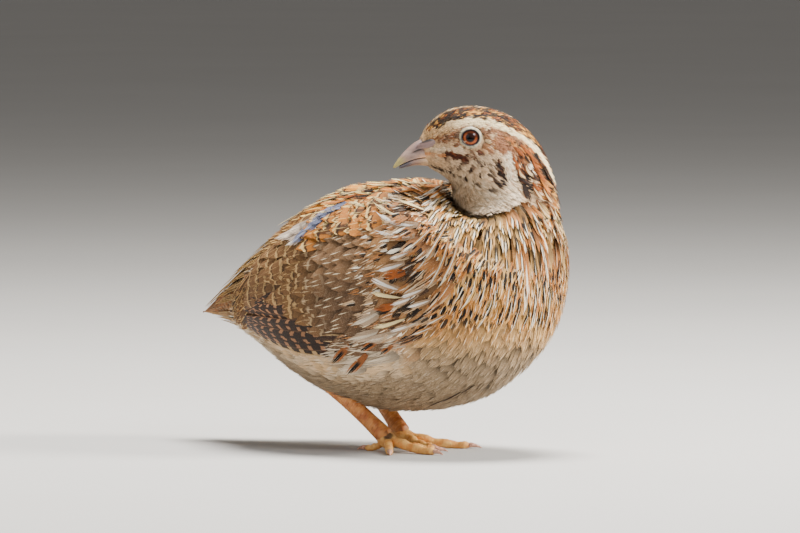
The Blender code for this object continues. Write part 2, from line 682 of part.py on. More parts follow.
def main():
    for old in list(bpy.data.objects):
        bpy.data.objects.remove(old)
    parts = make_collection("coturnix_quail", True)
    tools = make_collection("cutters", False)
    finish = {
        "face": material("face_feathers", (0.62, 0.47, 0.33)),
        "neck": material("neck_feathers", (0.60, 0.42, 0.27)),
        "breast": material("breast_feathers", (0.66, 0.42, 0.24)),
        "belly": material("belly_feathers", (0.72, 0.63, 0.51)),
        "wing": material("wing_feathers", (0.36, 0.25, 0.17)),
        "tail": material("tail_feathers", (0.40, 0.26, 0.14)),
        "bill": material("bill_horn", (0.45, 0.38, 0.36), 0.45),
        "eye": material("eye_iris", (0.35, 0.11, 0.03), 0.1),
        "leg": material("leg_scales", (0.82, 0.45, 0.26), 0.6),
        "claw": material("claw_horn", (0.75, 0.52, 0.42), 0.5),
    }
    legs = make_legs(finish, parts, tools)
    make_head(finish, parts, tools)
    make_eyes(finish, parts)
    bill_part("bill_upper", UPPER_BILL, finish["bill"], parts, tools)
    bill_part("bill_lower", LOWER_BILL, finish["bill"], parts, tools)
    make_neck(finish, parts, tools)
    make_torso(finish, parts, tools, legs)
    make_tail(finish, parts, tools)
    make_wings(finish, parts, tools, legs)
    stand_on_origin(parts)


main()
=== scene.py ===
import math

import bpy
import numpy as np
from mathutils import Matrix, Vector


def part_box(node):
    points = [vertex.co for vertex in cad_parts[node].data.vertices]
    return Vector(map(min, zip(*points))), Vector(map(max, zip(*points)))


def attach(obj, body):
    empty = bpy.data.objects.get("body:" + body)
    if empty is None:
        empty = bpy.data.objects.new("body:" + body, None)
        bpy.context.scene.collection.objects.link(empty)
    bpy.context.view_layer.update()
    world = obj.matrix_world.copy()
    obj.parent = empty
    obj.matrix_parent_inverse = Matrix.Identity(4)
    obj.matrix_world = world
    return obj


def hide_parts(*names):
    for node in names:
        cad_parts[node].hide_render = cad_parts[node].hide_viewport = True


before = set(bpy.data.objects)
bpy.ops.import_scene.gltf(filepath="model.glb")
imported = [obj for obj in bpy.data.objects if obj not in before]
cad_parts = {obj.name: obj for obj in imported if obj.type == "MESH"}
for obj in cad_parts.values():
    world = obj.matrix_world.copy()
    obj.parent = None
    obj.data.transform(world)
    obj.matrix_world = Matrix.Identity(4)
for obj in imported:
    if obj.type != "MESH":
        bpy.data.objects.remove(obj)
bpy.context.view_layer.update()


# Skin
# The bird's flesh and skin from the bill's base to the rump, one surface with no seam, a little inside
# the outline of the plumage. It is soft skin that the small feathers are rooted in all over.

MM = 0.001
HEAD_TURN = -128.0          # degrees, to the bird's right
HEAD_AXIS = (6.0, 31.0)     # left and forward, in millimetres from the middle of the feet
HEAD_RINGS = (              # crown forward and height, chin forward and height, half width
    (24.0, 98.6, 22.8, 90.2, 3.9), (20.9, 103.0, 20.4, 88.7, 6.2), (15.9, 106.5, 17.0, 86.8, 8.6),
    (9.5, 108.0, 14.0, 84.2, 10.4), (2.5, 107.6, 12.2, 81.0, 11.8), (-4.5, 105.0, 11.6, 78.0, 13.0),
    (-10.5, 100.2, 11.8, 75.8, 14.3), (-15.2, 93.8, 12.4, 74.4, 15.6),
)
NECK_RINGS = (              # left, forward, height, radius, tilt, share of the head's turn
    (6.5, 33.3, 80.6, 16.7, 26.0, 0.75), (4.5, 34.0, 77.0, 18.0, 20.0, 0.40),
    (1.8, 35.0, 74.3, 21.0, 23.0, 0.12),
)
BODY_RINGS = (              # back forward and height, belly forward and height, half width
    (10.5, 84.4, 56.0, 54.0, 27.5), (5.0, 84.6, 49.5, 33.5, 31.0), (-2.0, 84.3, 29.0, 17.5, 32.5),
    (-11.5, 83.3, 5.0, 12.4, 32.5), (-22.0, 81.4, -17.0, 13.6, 30.8), (-33.5, 76.0, -36.0, 20.5, 27.0),
    (-45.0, 68.6, -50.0, 28.5, 21.5), (-57.0, 60.2, -60.5, 33.5, 15.5), (-69.0, 51.2, -70.0, 37.0, 10.0),
    (-82.0, 41.0, -82.0, 39.5, 3.5),
)


SIDES = ((1, "left"), (-1, "right"))


def unit(v):
    """Each vector divided by its own length."""
    return v / np.maximum(np.linalg.norm(v, axis=-1, keepdims=True), 1e-9)


def turned(vector, degrees):
    """A vector turned about the upright axis: x and y by the cosine and sine of the turn, z kept."""
    c, s = math.cos(math.radians(degrees)), math.sin(math.radians(degrees))
    return np.array((c * vector[0] - s * vector[1], s * vector[0] + c * vector[1], vector[2]))


def full_turn(count):
    """Angles evenly spaced once round, the first not repeated."""
    return np.linspace(0, 2 * math.pi, count, endpoint=False)


def alike(*values):
    """The values as arrays of one shape."""
    return np.broadcast_arrays(*(np.asarray(v, float) for v in values))


def head_point(forward, height, side=0.0):
    """A point of the head's own frame: turned about the upright axis of the neck's top."""
    return turned((side, -forward, height), HEAD_TURN) + (HEAD_AXIS[0], -HEAD_AXIS[1], 0)


def head_points(forward, height, side):
    """The same for whole arrays: x and y turned by the head's turn, height kept."""
    c, s = math.cos(math.radians(HEAD_TURN)), math.sin(math.radians(HEAD_TURN))
    forward, height, side = np.broadcast_arrays(forward, height, side)
    x = c * side + s * forward + HEAD_AXIS[0]
    y = s * side - c * forward - HEAD_AXIS[1]
    return np.stack((x, y, height), -1)


def head_measures(points):
    """Forward, height and side of points in the head's own frame."""
    c, s = math.cos(math.radians(HEAD_TURN)), math.sin(math.radians(HEAD_TURN))
    x, y = points[..., 0] - HEAD_AXIS[0], points[..., 1] + HEAD_AXIS[1]
    return -(-s * x + c * y), points[..., 2], c * x + s * y


def ring_rows():
    """Every ring as a row: middle, way up, way left, half width, half height; a row more at each end."""
    rows = []
    for crown_f, crown_z, chin_f, chin_z, half in HEAD_RINGS:
        top, low = head_point(crown_f, crown_z), head_point(chin_f, chin_z)
        rows.append((*(top + low) / 2, *unit(top - low), *turned((1, 0, 0), HEAD_TURN), half,
                     np.linalg.norm(top - low) / 2))
    for x, forward, height, radius, tilt, share in NECK_RINGS:
        lean = math.radians(tilt)
        up = turned((0, math.cos(lean), math.sin(lean)), HEAD_TURN * share)
        rows.append((x, -forward, height, *up, *turned((1, 0, 0), HEAD_TURN * share), radius, radius))
    for back_f, back_z, belly_f, belly_z, half in BODY_RINGS:
        top, low = np.array((0, -back_f, back_z)), np.array((0, -belly_f, belly_z))
        rows.append((*(top + low) / 2, *unit(top - low), 1, 0, 0, half, np.linalg.norm(top - low) / 2))
    rows = np.array(rows, float)
    return np.vstack((2 * rows[0] - rows[1], rows, 2 * rows[-1] - rows[-2]))


RING_ROWS = ring_rows()


def outline(s, angle, height=0.0):
    """The plumage's outline: an ellipse at each ring s, joined by a smooth cubic and raised by height."""
    s, angle, height = alike(s, angle, height)

    def flat(s, angle):
        """A point of the outline itself: middle, plus up by the angle's cosine and left by its sine."""
        i = np.clip(np.floor(s).astype(int), 0, len(RING_ROWS) - 4)
        t = (s - i)[..., None]
        before, here, after, beyond = (RING_ROWS[i + k] for k in range(4))
        row = (here * (1 + 2 * t) * (1 - t) ** 2 + (after - before) / 2 * t * (1 - t) ** 2
               + after * t * t * (3 - 2 * t) + (beyond - here) / 2 * t * t * (t - 1))
        up = unit(row[..., 3:6])
        left = row[..., 6:9]
        left = unit(left - up * (left * up).sum(-1, keepdims=True))
        raised = row[..., 0:3] + up * np.cos(angle)[..., None] * row[..., 10:11]
        return raised + left * np.sin(angle)[..., None] * row[..., 9:10]

    low, high = np.clip(s - 0.03, 0, 19.97), np.clip(s + 0.03, 0.03, 20)
    normal = unit(np.cross(flat(s, angle + 0.02) - flat(s, angle - 0.02),
                           flat(high, angle) - flat(low, angle)))
    return flat(s, angle) + normal * height[..., None]


# The eye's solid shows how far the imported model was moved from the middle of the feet.
EYE_F, EYE_Z, EYE_SIDE, EYE_R, EYE_DEEP = 9.6, 98.4, 7.5, 4.3, 3.5
eye_box = np.array([list(c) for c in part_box("eye_left")]) / MM
PLACE = eye_box.mean(0) - head_point(EYE_F, EYE_Z, EYE_SIDE)


def sheet_mesh(name, *sheets, cap=True):
    """Tubes from rows of points: each row is a closed ring, and cap fills the two end rings."""
    points, faces = np.concatenate([sheet.reshape(-1, 3) for sheet in sheets]), []
    start = 0
    for sheet in sheets:
        rows, columns = sheet.shape[:2]
        number = start + np.arange(rows * columns).reshape(rows, columns)
        ring = np.concatenate((number, number[:, :1]), 1)
        faces += np.stack((ring[:-1, :-1], ring[:-1, 1:], ring[1:, 1:], ring[1:, :-1]),
                          -1).reshape(-1, 4).tolist()
        if cap:
            faces += [number[0].tolist()[::-1], number[-1].tolist()]
        start += rows * columns
    mesh = bpy.data.meshes.new(name)
    mesh.from_pydata(((points + PLACE) * MM).tolist(), [], faces)
    mesh.shade_smooth()
    return mesh


def show(name, mesh, material, replaced=()):
    """Puts a mesh in the scene with its material, in place of the solids that it stands for."""
    piece = bpy.data.objects.new(name, mesh)
    mesh.materials.append(material)
    bpy.context.scene.collection.objects.link(piece)
    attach(piece, "root")
    if replaced:
        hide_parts(*replaced)
    return piece


def spread(mesh, name, values, width=4):
    """Puts a number or a colour on each vertex."""
    kind = "FLOAT_COLOR" if width == 4 else "FLOAT"
    attribute = mesh.attributes.new(name, kind, "POINT")
    values = np.asarray(values, np.float32)
    if width == 4 and values.shape[-1] == 3:
        values = np.concatenate((values, np.ones((*values.shape[:-1], 1), np.float32)), -1)
    attribute.data.foreach_set("color" if width == 4 else "value", values.reshape(-1))


def add_map(mesh, name, vertex_uv):
    """A UV map from one pair of numbers for each vertex."""
    corner = np.empty(len(mesh.loops), np.int32)
    mesh.loops.foreach_get("vertex_index", corner)
    mesh.uv_layers.new(name=name).data.foreach_set("uv", vertex_uv[corner].astype(np.float32).reshape(-1))


class Wire:
    """A socket whose sums are written as Python sums; each adds its own Math node."""

    def __init__(self, tree, socket):
        self.tree, self.socket = tree, socket

    def _maths(self, operation, *terms):
        """One Math node, its sockets fed by wires or set to numbers."""
        node = self.tree.nodes.new("ShaderNodeMath")
        node.operation = operation
        for slot, term in zip(node.inputs, terms):
            if isinstance(term, Wire):
                self.tree.links.new(term.socket, slot)
            else:
                slot.default_value = term
        return Wire(self.tree, node.outputs[0])

    def __add__(self, other):
        return self._maths("ADD", self, other)

    def __radd__(self, other):
        return self._maths("ADD", other, self)

    def __sub__(self, other):
        return self._maths("SUBTRACT", self, other)

    def __rsub__(self, other):
        return self._maths("SUBTRACT", other, self)

    def __mul__(self, other):
        return self._maths("MULTIPLY", self, other)

    def __rmul__(self, other):
        return self._maths("MULTIPLY", other, self)

    def __truediv__(self, other):
        return self._maths("DIVIDE", self, other)

    def __abs__(self):
        return self._maths("ABSOLUTE", self)

    def sine(self):
        """The sine of the value, taken in radians."""
        return self._maths("SINE", self)

    def larger(self, other):
        """The larger of the two at each point."""
        return self._maths("MAXIMUM", self, other)

    def smaller(self, other):
        """The smaller of the two at each point."""
        return self._maths("MINIMUM", self, other)

    def step(self, low, high):
        """0 below low, 1 above high and a smooth rise between, for low under high."""
        t = ((self - low) * (1.0 / (high - low))).larger(0.0).smaller(1.0)
        return t * t * (3.0 - 2.0 * t)


class Finish:
    """A material with one way to add nodes: a type, its settings, then its sockets' values or links."""

    def __init__(self, name, roughness=0.7, specular=0.5, **fixed):
        self.material = bpy.data.materials.new(name)
        self.material.use_nodes = True
        self.tree = self.material.node_tree
        self.shader = self.tree.nodes["Principled BSDF"]
        self.shader.inputs["Roughness"].default_value = roughness
        self.shader.inputs["Specular IOR Level"].default_value = specular
        for socket, value in fixed.items():
            self.shader.inputs[socket.replace("_", " ")].default_value = value

    def node(self, kind, settings=None, inputs=None, output=0):
        """Adds a node of a kind, makes its settings, sets or links its sockets, and gives one output."""
        node = self.tree.nodes.new("ShaderNode" + kind)
        for key, value in (settings or {}).items():
            if key == "stops":
                ramp = node.color_ramp.elements
                for k, (place, colour) in enumerate(value):
                    stop = ramp[k] if k < len(ramp) else ramp.new(place)
                    stop.position = place
                    stop.color = (*colour, 1.0)
            else:
                setattr(node, key, value)
        for key, value in (inputs or {}).items():
            if isinstance(value, Wire):
                self.tree.links.new(value.socket, node.inputs[key])
            else:
                node.inputs[key].default_value = value
        return Wire(self.tree, node.outputs[output])

    def value(self, name, output="Fac"):
        """What the mesh carries under a name."""
        return self.node("Attribute", {"attribute_name": name}, output=output)

    def blend(self, first, second, share, how="MIX"):
        """Two colours mixed, or multiplied, by a share of the second."""
        inputs = {0: share, 6: first, 7: second}
        for key in (6, 7):
            if isinstance(inputs[key], tuple):
                inputs[key] = (*inputs[key], 1.0)
        return self.node("Mix", {"data_type": "RGBA", "blend_type": how}, inputs, 2)

    def noise(self, scale, detail=3.0):
        """Cloudy noise from 0 to 1, fixed to the object."""
        inputs = {"Scale": scale, "Detail": detail, "Roughness": 0.55}
        inputs["Vector"] = self.node("TexCoord", output="Object")
        return self.node("TexNoise", None, inputs)

    def set(self, socket, wire):
        """Feeds one of the shader's sockets."""
        self.tree.links.new(wire.socket, self.shader.inputs[socket])

    def bump(self, height, distance, strength=1.0):
        """Fine relief that is only seen in the light, its depth in metres."""
        self.set("Normal", self.node("Bump", None,
                                     {"Height": height, "Distance": distance, "Strength": strength}))


def srgb(r, g, b):
    """A colour as it is seen on a screen, made linear for the shader."""
    return tuple(c / 12.92 if c <= 0.04045 else ((c + 0.055) / 1.055) ** 2.4 for c in (r, g, b))


def between(value, low, high):
    """A smooth rise from 0 at low to 1 at high."""
    t = np.clip((value - low) / (high - low), 0, 1)
    return t * t * (3 - 2 * t)


def fall(value, low, high):
    """The same the other way round: a smooth fall from 1 at low to 0 at high."""
    return 1 - between(value, low, high)


def near_line(x, y, line):
    """How far each point x, y is from a drawn line: the least distance to any of its stretches."""
    line = np.array(line, float)
    best = np.full(np.shape(x), 1e9)
    for (ax, ay), (bx, by) in zip(line[:-1], line[1:]):
        t = np.clip(((x - ax) * (bx - ax) + (y - ay) * (by - ay)) / ((bx - ax) ** 2 + (by - ay) ** 2), 0, 1)
        best = np.minimum(best, np.hypot(x - ax - t * (bx - ax), y - ay - t * (by - ay)))
    return best


def towards(first, second, share):
    """Blends colours or numbers, each feather by its own share."""
    share = np.asarray(share, float)[..., None]
    return np.asarray(first) * (1 - share) + np.asarray(second) * share


WHITE, CREAM, BUFF = srgb(0.96, 0.91, 0.82), srgb(0.90, 0.77, 0.58), srgb(0.84, 0.64, 0.38)
ORANGE, RUFOUS, CHESTNUT = srgb(0.82, 0.53, 0.24), srgb(0.66, 0.36, 0.14), srgb(0.46, 0.23, 0.11)
BLACK, BROWN, TAUPE = srgb(0.10, 0.075, 0.06), srgb(0.30, 0.21, 0.15), srgb(0.50, 0.40, 0.31)
# The belly's buff darkened with painted shade, for the underside turned away from the lamps above.
BELLY_IN_SHADE = srgb(0.58, 0.49, 0.38)

# What one feather looks like: three colours and how much of each marking it carries.
MARKS = ("shaft", "shaft_width", "spots", "bars", "bar_count", "fringe", "centre", "tone")


class Looks:
    """The colours and markings of many feathers at once, painted over step by step where a share says."""

    def __init__(self, count):
        self.ground = np.tile(np.array(ORANGE), (count, 1))
        self.dark = np.tile(np.array(BLACK), (count, 1))
        self.pale = np.tile(np.array(CREAM), (count, 1))
        for mark in MARKS:
            setattr(self, mark, np.zeros(count))
        self.shaft_width += 0.12
        self.bar_count += 4.0
        self.tone += 0.5

    def paint(self, share, ground=None, dark=None, pale=None, **marks):
        """Moves the named colours and markings towards new values, each feather by its own share."""
        share = np.clip(share, 0, 1)
        for name, colour in (("ground", ground), ("dark", dark), ("pale", pale)):
            if colour is not None:
                setattr(self, name, towards(getattr(self, name), colour, share))
        for mark, value in marks.items():
            setattr(self, mark, getattr(self, mark) * (1 - share) + value * share)


BROW = ((23.0, 100.4), (20.5, 101.6), (17.5, 102.4), (14.0, 103.0), (10.6, 103.6), (6.8, 103.5),
        (2.5, 102.8), (-1.1, 101.7), (-6.3, 98.8), (-10.9, 95.5), (-13.3, 92.3), (-16.0, 87.3),
        (-17.6, 83.5))


def face_looks(looks, f, z, side, chance, head):
    """The head's markings on its side view: forward f, height z, and side the distance from its middle."""
    mix, other = chance.random(len(f)), chance.random(len(f))
    f, z = f + chance.normal(0, 0.22, len(f)), z + chance.normal(0, 0.22, len(f))

    def stroke(line, full, gone):
        """The share of paint along a drawn line: whole within the first distance, none past the second."""
        return head * fall(near_line(f, z, line), full, gone)

    looks.paint(head, ground=srgb(0.86, 0.71, 0.54), dark=BROWN, pale=WHITE, shaft=0.3, spots=0.0, bars=0.0,
                fringe=0.0, centre=(mix < 0.12) * 0.4)
    # Cheek: cream with fine dark streaks that run down and back, most of them towards its lower edge.
    cheek = head * between(f, 2.0, 4.0) * fall(f, 15.0, 18.0) * between(z, 83.0, 85.0) * fall(z, 92.5, 94.0)
    looks.paint(cheek, ground=srgb(0.86, 0.73, 0.58), dark=BROWN, centre=0.0)
    run, over = 0.8 * f + 0.6 * z, 0.8 * z - 0.6 * f
    streak = (between(np.sin(over * 4.6 + 1.2 * np.sin(run * 0.7)), 0.22, 0.52)
              * between(np.sin(run * 1.3 + over * 2.3), -0.45, -0.05))
    looks.paint(cheek * streak * np.where(mix < 0.85, 1.0, 0.2), ground=srgb(0.30, 0.19, 0.13), dark=BLACK,
                centre=0.5, shaft=0.0)
    # Ear coverts: pinkish brown, silky.
    ear = head * fall(np.hypot((f + 0.9) / 1.15, z - 97.1), 3.2, 3.8)
    looks.paint(ear, ground=towards(srgb(0.56, 0.36, 0.24), srgb(0.68, 0.46, 0.32), other), dark=BROWN,
                pale=srgb(0.76, 0.57, 0.42), shaft=0.2, shaft_width=0.2, centre=(mix < 0.15) * 0.5)
    # Behind the ear a rufous band mottled with black runs down to the side of the neck.
    band = stroke(((-3.4, 99.4), (-7.0, 95.6), (-9.8, 91.0), (-12.4, 86.5), (-14.6, 81.0)), 2.6, 3.6)
    looks.paint(band, ground=towards(srgb(0.66, 0.36, 0.14), srgb(0.84, 0.60, 0.34), (mix > 0.8) * 0.8),
                dark=BLACK, pale=BUFF, centre=0.0, shaft=0.2)
    outer = stroke(((-8.0, 95.2), (-11.0, 91.0), (-13.6, 87.0), (-16.0, 83.0), (-16.6, 79.5)), 1.7, 2.9)
    looks.paint(np.maximum(outer * (other < 0.66), band * (other < 0.32)), ground=srgb(0.15, 0.09, 0.06),
                dark=BLACK, centre=0.5)
    # Rusty band through the lores, a fine line over the eye and spots behind it.
    lores = stroke(((22.0, 98.9), (18.0, 98.6), (14.2, 99.6), (13.6, 96.6)), 0.9, 1.9)
    looks.paint(lores, ground=towards(srgb(0.56, 0.34, 0.19), srgb(0.85, 0.66, 0.45), (mix > 0.75) * 0.8),
                dark=BROWN, centre=(other < 0.5) * 0.8)
    under = stroke(((21.5, 95.2), (16.5, 95.0), (12.5, 94.6)), 0.5, 1.1)
    looks.paint(under, ground=srgb(0.93, 0.82, 0.67), dark=TAUPE, centre=0.0)
    behind = stroke(((5.4, 101.0), (3.6, 99.5), (3.6, 96.8), (4.6, 94.6)), 0.9, 1.7)
    looks.paint(behind * 0.9, ground=towards(srgb(0.66, 0.43, 0.25), CREAM, (mix > 0.6) * 0.8),
                dark=CHESTNUT, centre=(other < 0.5) * 0.9)
    brow_edge = stroke(((5.5, 100.8), (0.5, 100.7), (-3.0, 99.3), (-5.4, 97.4)), 0.5, 1.1)
    looks.paint(brow_edge, ground=towards(srgb(0.40, 0.25, 0.16), srgb(0.66, 0.45, 0.30), mix > 0.4),
                dark=BROWN, centre=0.3, shaft=0.0)
    rim = (head * fall(np.abs(np.hypot(f - EYE_F, (z - EYE_Z) * 1.08) - 4.15), 0.20, 0.55)
           * (np.abs(side) > 3.0))
    looks.paint(rim * np.where(mix < 0.75, 0.9, 0.2), ground=srgb(0.42, 0.30, 0.21), dark=BROWN, centre=0.4,
                shaft=0.0)
    above_eye = stroke(((13.6, 101.0), (9.8, 102.3), (6.2, 101.4)), 0.25, 0.6)
    looks.paint(above_eye, ground=srgb(0.66, 0.47, 0.31), dark=BROWN, centre=(other < 0.5) * 0.7)
    # Orange gape line and the chestnut streak behind it, breaking up into spots.
    gape = stroke(((24.4, 93.6), (17.4, 92.9)), 0.25, 0.6)
    looks.paint(gape, ground=srgb(0.84, 0.58, 0.38), dark=RUFOUS, pale=ORANGE, centre=0.0)
    gape = stroke(((17.4, 93.8), (14.2, 93.0), (11.4, 92.0)), 0.5 + 0.5 * mix, 1.0 + 0.5 * mix)
    looks.paint(gape, ground=towards(srgb(0.28, 0.12, 0.06), srgb(0.50, 0.25, 0.12), other), dark=BLACK,
                pale=RUFOUS, centre=np.where(mix < 0.5, 0.8, 0.1), shaft=0.0)
    for spot_f, spot_z in ((9.0, 92.6), (7.4, 91.3), (5.2, 90.6), (10.0, 93.8), (6.6, 93.6), (12.0, 90.2),
                           (9.6, 89.4)):
        spot = head * fall(np.hypot((f - spot_f) / 1.7, z - spot_z), 0.30, 0.60)
        looks.paint(spot, ground=CHESTNUT, dark=BLACK, centre=0.7, shaft=0.0)
    # Throat and bib: plain cream.
    bib = head * between(f, -5.2, -3.8) * fall(z, 82.0 + 0.36 * f, 83.2 + 0.36 * f)
    looks.paint(bib, ground=towards(srgb(0.80, 0.68, 0.53), WHITE, other * 0.35), dark=TAUPE, pale=WHITE,
                shaft=0.25, spots=0.0, centre=(mix < 0.08) * 0.5)
    white = stroke(((-1.2, 92.5), (-1.9, 88.0), (-2.2, 81.0)), 1.2, 2.0)
    looks.paint(white, ground=towards(srgb(0.90, 0.79, 0.64), WHITE, other * 0.6), dark=RUFOUS, spots=0.0,
                centre=(mix < 0.15) * 0.6)
    # The two dark bars on each side of the throat, and the thin broken line from the chin.
    line = stroke(((20.9, 89.6), (15.8, 87.5), (10.7, 85.2), (5.2, 83.2), (3.4, 82.4)), 0.16, 0.42)
    looks.paint(line * np.where(other < 0.8, 1.0, 0.2), ground=BROWN, dark=BLACK, centre=0.5, shaft=0.0)
    wide = 0.5 + 0.5 * between(91.5 - z, 0.0, 5.0)
    bar = stroke(((1.8, 91.4), (1.5, 88.6), (1.0, 86.0), (1.2, 83.6)), wide, wide + 0.6)
    foot = stroke(((1.2, 83.6), (3.2, 82.6), (5.4, 82.6)), 0.35, 0.9) * np.where(mix < 0.75, 1.0, 0.1)
    looks.paint(np.maximum(bar, foot),
                ground=towards(srgb(0.15, 0.09, 0.06), srgb(0.42, 0.24, 0.13), (mix > 0.7) * 0.9),
                dark=BLACK, pale=CHESTNUT, centre=0.4, shaft=0.0)
    bar = stroke(((-4.4, 92.6), (-5.0, 89.0), (-6.0, 86.0), (-6.9, 81.5), (-7.4, 78.0)), 0.9 + 0.5 * mix,
                 1.6 + 0.6 * mix)
    looks.paint(bar * (other < 0.9),
                ground=towards(srgb(0.14, 0.09, 0.06), srgb(0.58, 0.33, 0.16),
                               between(z, 86.5, 90.0) * (mix > 0.3) * 0.9), dark=BLACK, pale=CHESTNUT,
                centre=0.3, shaft=0.0)
    cream = head * fall(np.hypot(f + 7.9, (z - 89.0) / 1.2), 1.1, 1.9) * (mix < 0.8)
    looks.paint(cream, ground=WHITE, dark=RUFOUS, centre=0.0)
    # Crown: black feathers with rufous and buff edges, and a cream line along the middle.
    above = np.interp(-f, [-p[0] for p in BROW], [p[1] for p in BROW]) - 2.2 * between(f, 15.0, 22.0)
    crown = head * np.maximum(between(z, above + 0.5, above + 1.1), fall(f, -17.0, -16.0))
    black = 0.44 + 0.16 * between(f, 12.0, 18.0)
    looks.paint(crown, ground=towards(towards(srgb(0.68, 0.36, 0.11), srgb(0.87, 0.62, 0.28), mix > 0.55),
                                      BLACK, (other < black) * 0.95), dark=BLACK, pale=BUFF, bars=0.0,
                centre=(mix < 0.7) * 0.9, fringe=0.0, shaft=0.0, spots=0.0)
    stripe = crown * fall(np.abs(side), 0.5, 1.1) * (mix < 0.85)
    looks.paint(stripe, ground=CREAM, centre=0.0, spots=0.0, pale=WHITE, shaft=0.2)
    buff = stroke(((23.0, 99.6), (19.0, 100.7), (14.0, 102.4)), 0.9, 1.5)
    looks.paint(buff, ground=srgb(0.86, 0.69, 0.48), dark=BROWN, pale=WHITE, centre=(mix < 0.3) * 0.7,
                spots=0.0, shaft=0.3)
    eyebrow = stroke(BROW, 0.75, 1.15) * between(np.abs(side), 1.5, 3.0) * fall(f, 12.0, 18.0)
    looks.paint(eyebrow * np.where(mix < 0.95, 1.0, 0.4), ground=srgb(0.99, 0.90, 0.70), dark=TAUPE,
                pale=WHITE, centre=0.0, fringe=0.0, spots=0.0, shaft=0.3)


def body_looks(looks, x, forward, z, s, angle, chance):
    """The body's markings by place: streaked neck, spotted breast, plain belly, striped back."""
    mix, other = chance.random(len(x)), chance.random(len(x))
    around = np.abs(angle)
    # Belly to breast: a little cream on buff darkened with painted shade, then warm buff with pale shafts
    # and dark spots beside them.
    breast = between(z, 26.0, 45.0)
    looks.paint(1.0, ground=towards(BELLY_IN_SHADE, CREAM, other * 0.15), dark=TAUPE, pale=WHITE, shaft=0.25,
                shaft_width=0.05)
    looks.paint(breast, ground=towards(srgb(0.82, 0.61, 0.33), srgb(0.88, 0.69, 0.42), other), dark=BLACK,
                pale=WHITE, shaft=0.7, shaft_width=0.05)
    spotted = between(z, 34.0, 44.0)
    looks.paint(spotted, ground=towards(srgb(0.78, 0.49, 0.18), srgb(0.89, 0.68, 0.38), other),
                spots=mix < 0.8, shaft=0.9, shaft_width=0.07, fringe=0.35)
    high = between(z, 48.0, 60.0)
    looks.paint(high, ground=towards(srgb(0.74, 0.45, 0.16), srgb(0.89, 0.69, 0.40), other > 0.5),
                spots=np.where(mix < 0.92, 1.0, 0.3), shaft=1.0,
                shaft_width=np.where(other > 0.85, 0.12, 0.05))
    # Breast side and flank: long white shafts, rufous webs, black blotches.
    flank = (0.9 * between(around, 0.70, 1.0) * fall(around, 2.05, 2.35) * fall(forward, 20.0, 30.0)
             * between(z, 27.0, 34.0))
    looks.paint(flank, ground=towards(towards(srgb(0.80, 0.66, 0.50), RUFOUS, (other > 0.25) * 0.8), BLACK,
                                      (other > 0.84) * 0.9), dark=BLACK, pale=WHITE, shaft=1.0,
                shaft_width=np.where(mix < 0.35, 0.22, 0.08), spots=mix < 0.5)
    low_flank = (between(around, 1.85, 2.0) * fall(around, 2.26, 2.42) * between(s, 12.9, 13.3)
                 * fall(s, 15.8, 16.4))
    looks.paint(low_flank, ground=towards(srgb(0.88, 0.79, 0.66), BUFF, other * 0.6), dark=BLACK,
                pale=RUFOUS, shaft=0.0, centre=0.0, shaft_width=0.1, spots=0.0, fringe=0.0)
    # The underside towards the tail: dull buff with a little cream, its darkness painted shade where it
    # faces the floor.
    under = between(around, 2.2, 2.6) * fall(forward, -30.0, -20.0)
    looks.paint(under, ground=towards(srgb(0.56, 0.47, 0.36), CREAM, other * 0.15), spots=0.0, centre=0.0,
                shaft=0.15, fringe=0.0)
    # Back: black centres, rufous bars, long cream shaft stripes; the rump is browner.
    back = fall(around, 0.85, 1.15) * between(s, 10.6, 11.6)
    looks.paint(back, ground=towards(srgb(0.70, 0.36, 0.06), srgb(0.86, 0.55, 0.16), other), dark=BLACK,
                pale=srgb(1.0, 0.88, 0.56), bars=(mix < 0.4) * 0.7, bar_count=2.2, centre=mix > 0.55,
                shaft=np.where(other < 0.7, 1.0, 0.2), shaft_width=np.where(other < 0.35, 0.20, 0.09),
                spots=0.0, fringe=0.45)
    rump = fall(around, 1.05, 1.3) * between(s, 14.9, 15.9)
    looks.paint(rump, ground=towards(srgb(0.40, 0.26, 0.11), srgb(0.54, 0.34, 0.13), other),
                dark=srgb(0.20, 0.13, 0.08), pale=srgb(0.82, 0.66, 0.42), bars=0.2, bar_count=2.4,
                centre=np.where(mix < 0.4, 0.7, 0.2), shaft=1.0, shaft_width=0.10, fringe=1.0, spots=0.0)
    # Neck: rufous, cream and black mottling behind, streaks towards the breast.
    neck = fall(s, 9.4, 11.2) * fall(around, 2.5, 3.0)
    looks.paint(neck, ground=towards(towards(srgb(0.77, 0.48, 0.17), srgb(0.94, 0.78, 0.50),
                                             (other > 0.55) * 0.9), BLACK, (mix > 0.84) * 0.9), dark=BLACK,
                pale=srgb(0.98, 0.92, 0.78), shaft=1.0, shaft_width=np.where(other < 0.35, 0.20, 0.06),
                spots=np.where(mix < 0.6, 1.0, 0.2), bars=0.0, centre=0.0)
    looks.tone = chance.random(len(x))


